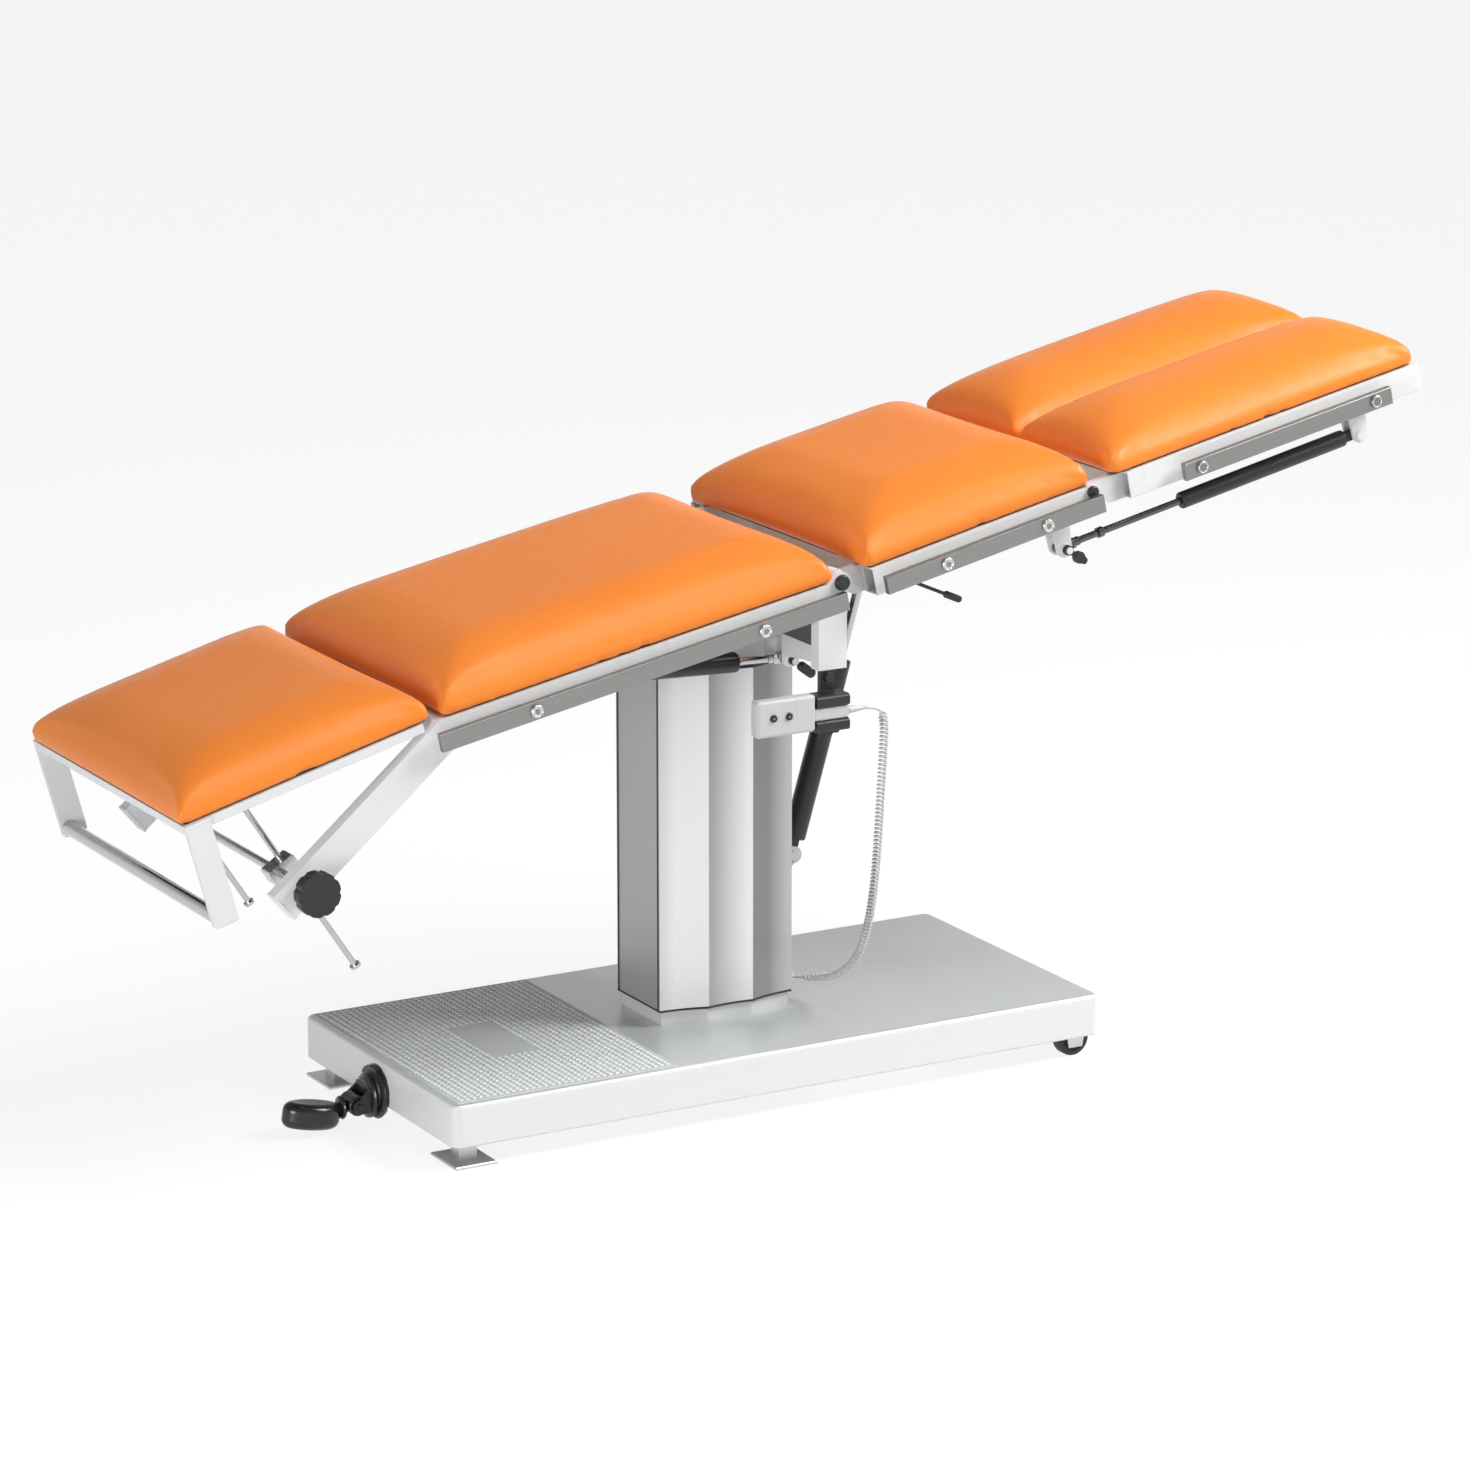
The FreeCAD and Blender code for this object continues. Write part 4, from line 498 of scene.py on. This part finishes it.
# Curly cord, in metres: radii of the wire and of a turn, rise of a turn, straight ends, points to a turn,
# reach of the direction's measure, and the turns over which the helix eases in
cordParts = dict(wire=0.00155, turn=0.0049, pitch=0.0057, lead=0.056, tail=0.014, perTurn=14,
                 leadSteps=12, tailSteps=8, reach=0.002, ease=1.2, smoothness=24)
cordRoute = np.array([  # from the handset's neck to the gland at the column's foot
    (0.0182, -0.2560, 0.5630),
    (0.0660, -0.2560, 0.5630),
    (0.0790, -0.2530, 0.5430),
    (0.0800, -0.2490, 0.5000),
    (0.0770, -0.2460, 0.4200),
    (0.0780, -0.2360, 0.3350),
    (0.0810, -0.2160, 0.2550),
    (0.0860, -0.1840, 0.1960),
    (0.0910, -0.1420, 0.1580),
    (0.0920, -0.0980, 0.1340),
    (0.0870, -0.0590, 0.1220),
    (0.06286, -0.03486, 0.11916),
])


# Open spline that runs smoothly by its control points and ends on the first and last of them
def nurbs(name, points):
    curve = bpy.data.curves.new(name, "CURVE")
    curve.dimensions = "3D"
    spline = curve.splines.new("NURBS")
    spline.points.add(len(points) - 1)
    spline.points.foreach_set("co", np.column_stack([points, np.ones(len(points))]).ravel())
    spline.order_u = 3
    spline.use_endpoint_u = True
    spline.resolution_u = cordParts["smoothness"]
    return curve


# Points along a curve that has no thickness, as Blender divides it
def curveLine(curve):
    holder = bpy.data.objects.new(curve.name + " line", curve)
    scene.collection.objects.link(holder)
    bpy.context.view_layer.update()
    sampled = bpy.data.meshes.new_from_object(holder.evaluated_get(bpy.context.evaluated_depsgraph_get()))
    line = pointsOf(sampled)
    bpy.data.objects.remove(holder)
    bpy.data.meshes.remove(sampled)
    return line


# Helix about the route: centre + side cos(phase) radius + up sin(phase) radius, where the phase grows evenly
# between the straight ends and the radius eases in and out as 3e^2 - 2e^3
def makeCord():
    line = curveLine(nurbs("cord route", cordRoute))
    if np.linalg.norm(line[0] - cordRoute[0]) > 0.01:  # the line may come back to front
        line = line[::-1]
    along = np.concatenate([[0.0], np.cumsum(np.linalg.norm(np.diff(line, axis=0), axis=1))])
    total = along[-1]
    start, stop = cordParts["lead"], total - cordParts["tail"]
    turns = int((stop - start) / cordParts["pitch"])
    stations = np.concatenate([
        np.linspace(0.0, start, cordParts["leadSteps"])[:-1],
        np.linspace(start, stop, turns * cordParts["perTurn"] + 1),
        np.linspace(stop, total, cordParts["tailSteps"])[1:],
    ])

    # Points of the route at distances along it
    def at(distance):
        return np.stack([np.interp(distance, along, line[:, k]) for k in range(3)], axis=1)

    centre = at(stations)
    tangent = at(stations + cordParts["reach"]) - at(stations - cordParts["reach"])
    tangent /= np.linalg.norm(tangent, axis=1)[:, None]
    side = np.cross(tangent, np.array([0.0, 1.0, 0.001]))
    side[0] /= np.linalg.norm(side[0])
    for i in range(1, len(side)):  # each is the one before laid square again, so the turns never twist
        side[i] = side[i - 1] - tangent[i] * np.dot(side[i - 1], tangent[i])
        side[i] /= np.linalg.norm(side[i])
    up = np.cross(tangent, side)
    phase = np.clip((stations - start) / (stop - start), 0.0, 1.0) * turns * 2 * np.pi
    fromEnd = np.minimum(stations - start, stop - stations)
    ease = np.clip(fromEnd / (cordParts["pitch"] * cordParts["ease"]), 0.0, 1.0)
    radius = cordParts["turn"] * ease * ease * (3 - 2 * ease)
    wire = centre + side * (np.cos(phase) * radius)[:, None] + up * (np.sin(phase) * radius)[:, None]
    curve = nurbs("handset curly cord", wire)
    curve.splines[0].resolution_u = 2
    length = float(np.linalg.norm(np.diff(curveLine(curve.copy()), axis=0), axis=1).sum())
    curve.bevel_depth = cordParts["wire"]
    curve.bevel_resolution = 3
    curve.use_fill_caps = True
    curve.materials.append(cordSkin)
    obj = bpy.data.objects.new("handset_curly_cord", curve)
    scene.collection.objects.link(obj)
    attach(obj, "column")
    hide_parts("handset_cord")
    print("cord of", turns, "turns on a route of", round(total, 4), "m, wire", round(length, 3), "m")


makeCord()

# Pads, in metres: the shape they share, the cloth's settings, the board, and each pad's plan and height
padShape = dict(lip=0.012, shoulder=0.120, steep=0.098, curve=0.50, blunt=2.3, mitre=4.2, least=0.02,
                sag=0.04, corner=0.012, pull=0.003, shrink=0.001, base=0.0008, lines=57)
padCloth = dict(voxel=0.0060, pinned=0.006, quality=5, mass=0.4, stretch=12, bend=1.5, pressure=2.0,
                frames=14, cap=0.0028, settle=4, flat=0.0042)
padBoard = dict(inset=0.009, levels=(-0.0016, 0.0040))
pads = {
    "head_pad": dict(place=head, body="head", u=(-0.3705, 0.0015), y=(-0.250, 0.250), crown=0.057),
    "back_pad": dict(place=back, body="back", u=(-0.6065, -0.0055), y=(-0.250, 0.250), crown=0.067),
    "seat_pad": dict(place=seat, body="seat", u=(0.0425, 0.4115), y=(-0.250, 0.250), crown=0.069),
    "leg_pad_near": dict(place=legs, body="leg_near", u=(0.036, 0.560), y=(-0.250, -0.003), crown=0.062),
    "leg_pad_far": dict(place=legs, body="leg_far", u=(0.036, 0.560), y=(0.003, 0.250), crown=0.062),
}


# Points of a section's plane in the world, from arrays of u, y and w
def toWorld(place, u, y, w):
    x, z = spot(place, u, w)
    return np.stack([x, y, z], axis=-1)


# Plan and height over s and t from -1 to 1. The height is the lip plus the rise times 1 - k(s^2 + t^2),
# and the rise joins one rounded shoulder per axis as (a^-m + b^-m - 1)^(-1/m), which leaves a soft mitre
def cushionPoints(pad, shrink):
    (u0, u1), (y0, y1) = pad["u"], pad["y"]
    halfU, halfY = (u1 - u0) / 2 - shrink, (y1 - y0) / 2 - shrink
    steps = np.sin(np.linspace(-np.pi / 2, np.pi / 2, padShape["lines"]))
    s, t = np.meshgrid(steps, steps, indexing="ij")
    du, dy = halfU * (1 - np.abs(s)), halfY * (1 - np.abs(t))  # distances from the edges
    softU, softY = (np.sin(np.pi / 2 * np.clip(d / padShape["shoulder"], 0, 1)) ** padShape["curve"]
                    for d in (du, dy))
    bluntU = np.sqrt(1.0 - (1.0 - np.clip(du / padShape["steep"], 0, 1)) ** padShape["blunt"])
    climbU = np.maximum(np.where(s > 0, bluntU, softU), padShape["least"])
    climbY = np.maximum(softY, padShape["least"])
    m = padShape["mitre"]
    rise = (climbU ** -m + climbY ** -m - 1.0) ** (-1.0 / m)
    crown = 1.0 - padShape["sag"] * (s * s + t * t)
    height = padShape["lip"] + (pad["crown"] - padShape["lip"]) * rise * crown
    pull = padShape["pull"]  # the sides draw in between the corners
    px = s * (halfU - pull * (1 - t * t) * np.abs(s) ** 6)
    py = t * (halfY - pull * (1 - s * s) * np.abs(t) ** 6)
    r = padShape["corner"]  # points past the corner's arc are drawn back onto it
    cx, cy = halfU - r, halfY - r
    ox, oy = np.maximum(np.abs(px) - cx, 0), np.maximum(np.abs(py) - cy, 0)
    far = np.hypot(ox, oy)
    squeeze = np.where((ox > 0) & (oy > 0) & (far > r), r / np.maximum(far, 1e-9), 1.0)
    px = np.sign(px) * (np.minimum(np.abs(px), cx) + ox * squeeze)
    py = np.sign(py) * (np.minimum(np.abs(py), cy) + oy * squeeze)
    return (u0 + u1) / 2 + px, (y0 + y1) / 2 + py, height


# Closed cushion: the crowned grid, the same grid flat on the base plane, and a wall round their edges,
# all turned over so that they face outwards
def cushion(name, pad):
    u, y, height = cushionPoints(pad, padShape["shrink"])
    n, base = padShape["lines"], padShape["base"]
    top = toWorld(pad["place"], u, y, base + height).reshape(-1, 3)
    low = toWorld(pad["place"], u, y, np.full_like(u, base)).reshape(-1, 3)
    inner = np.arange(1, n)
    ring = np.concatenate([np.arange(n) * n, (n - 1) * n + inner, inner[-2::-1] * n + n - 1, [n - 1],
                           inner[-2::-1]])
    after = np.roll(ring, -1)
    wall = np.stack([ring, after, n * n + after, n * n + ring], axis=1)
    faces = np.concatenate([gridFaces(n, n), gridFaces(n, n)[:, ::-1] + n * n, wall])
    obj = meshPiece(name + "_cushion", np.concatenate([top, low]), faces[:, ::-1].tolist(), orangeSkin)
    inflate(obj, pad)
    finish = obj.modifiers.new("subdivide", "SUBSURF")
    finish.levels = finish.render_levels = 1
    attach(obj, pad["body"])
    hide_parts(name)


# Voxel skin blown up by cloth pressure with its underside pinned: each move is cut to the cap, the skin is
# smoothed, and what lies near the base plane is laid flat on it
def inflate(obj, pad):
    remesh = obj.modifiers.new("remesh", "REMESH")
    remesh.mode = "VOXEL"
    remesh.voxel_size = padCloth["voxel"]
    bpy.context.view_layer.objects.active = obj
    bpy.ops.object.modifier_apply(modifier=remesh.name)
    mesh = obj.data
    rest = pointsOf(mesh)
    place = pad["place"]
    a = math.radians(place["slope"])
    upward = np.array([-math.sin(a), 0.0, math.cos(a)])
    level = upward @ [place["x"], 0.0, place["z"]] + place["lift"] + padShape["base"]
    pins = obj.vertex_groups.new(name="underside")
    pins.add(np.nonzero(rest @ upward - level < padCloth["pinned"])[0].tolist(), 1.0, "REPLACE")
    cloth = obj.modifiers.new("cloth", "CLOTH")
    settings = cloth.settings
    settings.quality = padCloth["quality"]
    settings.mass = padCloth["mass"]
    settings.tension_stiffness = settings.compression_stiffness = padCloth["stretch"]
    settings.bending_stiffness = padCloth["bend"]
    settings.use_pressure = True
    settings.uniform_pressure_force = padCloth["pressure"]
    settings.vertex_group_mass = "underside"
    settings.effector_weights.gravity = 0.0
    cloth.collision_settings.use_self_collision = False
    for number in range(1, padCloth["frames"] + 1):
        scene.frame_set(number)
    shift = pointsOf(obj.evaluated_get(bpy.context.evaluated_depsgraph_get()).to_mesh()) - rest
    size = np.linalg.norm(shift, axis=1)
    shift *= np.minimum(1.0, padCloth["cap"] / np.maximum(size, 1e-9))[:, None]
    obj.modifiers.remove(cloth)
    scene.frame_set(1)
    mesh.vertices.foreach_set("co", (rest + shift).ravel())
    smooth = obj.modifiers.new("settle", "SMOOTH")
    smooth.factor = 0.5
    smooth.iterations = padCloth["settle"]
    bpy.ops.object.modifier_apply(modifier=smooth.name)
    settled = pointsOf(mesh)
    lift = settled @ upward - level
    settled -= np.where(lift < padCloth["flat"], lift, 0.0)[:, None] * upward
    mesh.vertices.foreach_set("co", settled.ravel())
    mesh.update()
    mesh.shade_smooth()
    print(obj.name, "swelled", round(float(size.max()), 4), "m with", len(rest), "points")


boxFaces = np.array([(3, 2, 1, 0), (4, 5, 6, 7), (0, 1, 5, 4), (1, 2, 6, 5), (2, 3, 7, 6), (3, 0, 4, 7)])
boxSigns = np.array([(-1, -1), (1, -1), (1, 1), (-1, 1)])


# Boxes round plan centres: four corners at the first level, then four at the second drawn in by the draft
def boxPoints(centres, halves, levels, draft=0.0):
    rings = []
    for level, inward in zip(levels, (0.0, draft)):
        plan = centres[:, None, :] + boxSigns * (halves - inward)
        rings.append(np.concatenate([plan, np.full(plan.shape[:2] + (1,), level)], axis=2))
    return np.concatenate(rings, axis=1).reshape(-1, 3)


# Dark board under the cushion: a plate set in from its edge, its near-black partly painted shadow in the gap
# below the cushion's edge
def board(name, pad):
    (u0, u1), (y0, y1) = pad["u"], pad["y"]
    centres = np.array([[(u0 + u1) / 2, (y0 + y1) / 2]])
    halves = np.array([u1 - u0, y1 - y0]) / 2 - padBoard["inset"]
    u, y, w = boxPoints(centres, halves, padBoard["levels"]).T
    corners = toWorld(pad["place"], u, y, w)
    obj = meshPiece(name + "_board", corners, boxFaces.tolist(), boardGapShade, smooth=False)
    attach(obj, pad["body"])
    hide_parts(name)


for padName, padData in pads.items():
    cushion(padName, padData)
    board(padName, padData)
print("pads ready")

# Tread mat: plate, rows of small square studs, and one plain patch without them
tread = dict(x=(-0.561, -0.226), y=(-0.2255, 0.2255), bottom=0.0891, top=0.0902, edge=0.0008, rise=0.0013,
             pitch=0.0096, square=0.0064, draft=0.0012, sink=0.0001, margin=0.006,
             patchX=(-0.426, -0.355), patchY=(-0.075, 0.075))


# Middles of equal cells between the margins, as many as the pitch allows
def cellMiddles(low, high):
    span = high - low - 2 * tread["margin"]
    count = int(span / tread["pitch"])
    return low + tread["margin"] + (np.arange(count) + 0.5) * span / count


# Plate with a bevelled top, then one drafted box on each cell outside the patch
def treadMat():
    (x0, x1), (y0, y1) = tread["x"], tread["y"]
    plate = boxPoints(np.array([[(x0 + x1) / 2, (y0 + y1) / 2]]), np.array([x1 - x0, y1 - y0]) / 2,
                      (tread["bottom"], tread["top"]), tread["edge"])
    x, y = np.meshgrid(cellMiddles(x0, x1), cellMiddles(y0, y1), indexing="ij")
    (left, right), (near, far) = tread["patchX"], tread["patchY"]
    kept = ~((left < x) & (x < right) & (near < y) & (y < far))
    studs = boxPoints(np.stack([x[kept], y[kept]], axis=1), np.full(2, tread["square"] / 2),
                      (tread["top"] - tread["sink"], tread["top"] + tread["rise"]), tread["draft"])
    faces = boxFaces + 8 * np.arange(1 + kept.sum())[:, None, None]
    obj = meshPiece("tread_mat_studs", np.concatenate([plate, studs]), faces.reshape(-1, 4).tolist(), matSkin,
                    smooth=False)
    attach(obj, "base")
    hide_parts("tread_mat")
    print("mat with", int(kept.sum()), "studs")


treadMat()


# Turned piece: rings of the given radii about a direction, each a circle, closed by a face at both ends
def turned(name, centres, radii, along, mat, body, slotName, around=40):
    along = Vector(along).normalized()
    across = along.orthogonal().normalized()
    other = along.cross(across)
    angle = 2 * np.pi * np.arange(around) / around
    circle = np.outer(np.cos(angle), across) + np.outer(np.sin(angle), other)
    radii = np.array(radii)
    points = centres[:, None, :] + radii[:, None, None] * circle
    first = np.arange(around)[::-1]
    last = np.arange(around) + (len(radii) - 1) * around
    faces = gridFaces(len(radii), around, closed=True).tolist() + [first.tolist(), last.tolist()]
    obj = meshPiece(name, points.reshape(-1, 3), faces, mat)
    obj.data.set_sharp_from_angle(angle=math.radians(creases["lathe"]))
    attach(obj, body)


# Pedal's rubber gaiter: a flange and one soft bulge, its middle falling as it goes out
gaiter = dict(
    x=(-0.5693, -0.5715, -0.5745, -0.5768, -0.5785, -0.5800, -0.5822, -0.5850, -0.5878, -0.5897, -0.5905),
    r=(0.0350, 0.0372, 0.0374, 0.0350, 0.0290, 0.0262, 0.0290, 0.0312, 0.0300, 0.0262, 0.0180),
    z=0.046, fall=0.30, around=56)
x = np.array(gaiter["x"])
middles = np.stack([x, 0 * x, gaiter["z"] + (x - x[0]) * gaiter["fall"]], axis=1)
turned("pedal_gaiter", middles, gaiter["r"], (-1, 0, 0), gaiterRubber, "base", "black_rubber",
       gaiter["around"])

# Bead round the pedal's neck
collar = dict(x=(-0.6215, -0.6225, -0.6250, -0.6275, -0.6290), r=(0.0110, 0.0150, 0.0165, 0.0150, 0.0100),
              z=0.0300)
x = np.array(collar["x"])
middles = np.stack([x, 0 * x, 0 * x + collar["z"]], axis=1)
turned("pedal_collar", middles, collar["r"], (-1, 0, 0), gaiterRubber, "pedal", "black_rubber")

# Tapered strain relief where the cord leaves the handset
relief = dict(x=(0.0184, 0.0200, 0.0280, 0.0360, 0.0440, 0.0500),
              r=(0.0050, 0.0052, 0.0046, 0.0037, 0.0027, 0.0021), y=-0.2560, z=0.5630, around=24)
x = np.array(relief["x"])
middles = np.stack([x, 0 * x + relief["y"], 0 * x + relief["z"]], axis=1)
turned("cord_strain_relief", middles, relief["r"], (1, 0, 0), lightPlastic, "column", "light_plastic",
       relief["around"])

# Pale dot on each handset button
buttonDots = dict(x=dict(button_down=-0.102, button_up=-0.078), y=-0.2684, z=0.568,
                  out=(0.0, 0.0002, 0.0003), r=(0.0012, 0.0010, 0.0006), around=16)
out = np.array(buttonDots["out"])
for button, across in buttonDots["x"].items():
    middles = np.stack([0 * out + across, buttonDots["y"] - out, 0 * out + buttonDots["z"]], axis=1)
    turned(button + "_mark", middles, buttonDots["r"], (0, -1, 0), lightPlastic, button, "light_plastic",
           buttonDots["around"])
print("pedal and handset details ready")

# Rail screws: places along each rail, and the section of a screw's face
screwRows = {
    "back": dict(place=back, u=(-0.486, -0.137), sides=(-1, 1)),
    "seat": dict(place=seat, u=(0.152, 0.316), sides=(-1, 1)),
    "leg_near": dict(place=legs, u=(0.167, 0.466), sides=(-1,)),
    "leg_far": dict(place=legs, u=(0.167, 0.466), sides=(1,)),
}
screwFace = dict(w=-0.0245, y=0.2760, r=(0.0082, 0.0077, 0.0068, 0.0064), out=(0.0, 0.0005, 0.0005, 0.0),
                 around=32, star=0.0040, notch=0.62, points=6, starOut=0.00012)


# Raised rim of four circles and a flat star, whose radius goes in and out from tip to notch; the star is
# painted shade for the drive recess, in the darker rail steel
def screwMarks():
    face = screwFace
    rings, around, corners = len(face["r"]), face["around"], 2 * face["points"]
    angle = 2 * np.pi * np.arange(around) / around
    starAngle = np.pi * np.arange(corners) / face["points"]
    starR = face["star"] * np.where(np.arange(corners) % 2 == 0, 1.0, face["notch"])
    dx = np.concatenate([np.outer(face["r"], np.cos(angle)).ravel(), starR * np.cos(starAngle)])
    dz = np.concatenate([np.outer(face["r"], np.sin(angle)).ravel(), starR * np.sin(starAngle)])
    out = np.concatenate([np.repeat(face["out"], around), np.full(corners, face["starOut"])])
    rim = gridFaces(rings, around, closed=True)
    star = rings * around + np.arange(corners)
    for body, row in screwRows.items():
        points, faces, slots = [], [], []
        for u in row["u"]:
            x, z = spot(row["place"], u, face["w"])
            for side in row["sides"]:
                start = len(points) * len(dx)
                order = -side  # the far side's faces run the other way, so that all point outwards
                points.append(np.stack([x + dx, side * (face["y"] + out), z + dz], axis=1))
                faces += (rim[:, ::order] + start).tolist() + [(star[::order] + start).tolist()]
                slots += [0] * len(rim) + [1]
        obj = meshPiece(body + "_screw_marks", np.concatenate(points), faces, screwSteel)
        # painted shade: the star takes the darker rail steel to stand for the drive recess
        obj.data.materials.append(railSeat)
        obj.data.polygons.foreach_set("material_index", slots)
        obj.data.set_sharp_from_angle(angle=math.radians(creases["screw"]))
        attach(obj, body)


screwMarks()
print("rail screws ready")

# Floor: half its side in metres, its colour and glow to the camera, and its colour to the object's light
ground = dict(size=30.0, seen=0.20, glow=0.84, bounce=0.80, roughness=0.7, specular=0.1)


# One for camera, glossy and transmission rays, which see the backdrop, and nought for the rest
def backdropRays(tree):
    path = tree.nodes.new("ShaderNodeLightPath")
    seen = path.outputs["Is Camera Ray"]
    for ray in ("Is Glossy Ray", "Is Transmission Ray"):
        seen = reckon(tree, "MAXIMUM", seen, path.outputs[ray])
    return seen


# White floor to the camera that keeps the shadow, and a plain matt floor to the object
def makeFloor():
    size = ground["size"]
    mesh = bpy.data.meshes.new("floor")
    corners = [(-size, -size, 0), (size, -size, 0), (size, size, 0), (-size, size, 0)]
    mesh.from_pydata(corners, [], [(0, 1, 2, 3)])
    mat, tree, bsdf = shader("floor", (ground["seen"],) * 3, ground["roughness"], specular=ground["specular"])
    bsdf.inputs["Emission Color"].default_value = (1.0, 1.0, 1.0, 1.0)
    bsdf.inputs["Emission Strength"].default_value = ground["glow"]
    plain = tree.nodes.new("ShaderNodeBsdfDiffuse")
    plain.inputs["Color"].default_value = (ground["bounce"],) * 3 + (1.0,)
    mix = tree.nodes.new("ShaderNodeMixShader")
    tree.links.new(backdropRays(tree), mix.inputs[0])
    tree.links.new(plain.outputs["BSDF"], mix.inputs[1])
    tree.links.new(bsdf.outputs["BSDF"], mix.inputs[2])
    tree.links.new(mix.outputs["Shader"], tree.nodes["Material Output"].inputs["Surface"])
    mesh.materials.append(mat)
    obj = bpy.data.objects.new("floor", mesh)
    scene.collection.objects.link(obj)


# Softboxes: place, point aimed at, side in metres, power in watts
lamps = {
    "key": dict(at=(2.8, -1.7, 3.3), aim=(-0.1, 0.0, 0.6), size=1.5, power=172.0),
    "front": dict(at=(-3.7, -2.1, 0.6), aim=(-0.3, 0.0, 0.3), size=1.2, power=66.0),
    "crown": dict(at=(-0.2, -0.9, 3.3), aim=(-0.2, 0.0, 0.6), size=1.0, power=26.0),
}
# Sky: grey from low to high for the light it gives, nearly white where it is seen
sky = dict(low=(0.40, 0.40, 0.40), high=(0.20, 0.20, 0.21), reach=(0.0, 0.5),
           seenLow=(0.95, 0.95, 0.95), seenHigh=(0.30, 0.30, 0.31), seenReach=(0.08, 0.55), strength=1.0)


# Square lamps turned to their aims
def makeLamps():
    for name, lamp in lamps.items():
        data = bpy.data.lights.new(name, "AREA")
        data.shape = "SQUARE"
        data.size = lamp["size"]
        data.energy = lamp["power"]
        obj = bpy.data.objects.new(name, data)
        scene.collection.objects.link(obj)
        obj.location = lamp["at"]
        away = Vector(lamp["at"]) - Vector(lamp["aim"])
        obj.rotation_euler = away.to_track_quat("Z", "Y").to_euler()


# World whose grey goes from low to high with the height of the direction
def makeSky():
    world = bpy.data.worlds.new("studio")
    scene.world = world
    world.use_nodes = True
    tree = world.node_tree
    background = tree.nodes["Background"]
    x, y, z = axes(tree, "Generated")
    shade = remap(tree, z, 0.0, 1.0, *sky["reach"])
    fade = remap(tree, z, 0.0, 1.0, *sky["seenReach"])
    choice = tree.nodes.new("ShaderNodeMix")
    choice.data_type = "RGBA"
    tree.links.new(backdropRays(tree), choice.inputs["Factor"])
    tree.links.new(mixColor(tree, shade, sky["low"], sky["high"]), choice.inputs["A"])
    tree.links.new(mixColor(tree, fade, sky["seenLow"], sky["seenHigh"]), choice.inputs["B"])
    tree.links.new(choice.outputs["Result"], background.inputs["Color"])
    background.inputs["Strength"].default_value = sky["strength"]


makeFloor()
makeLamps()
makeSky()
scene.view_settings.view_transform = "Standard"
print("stage ready")
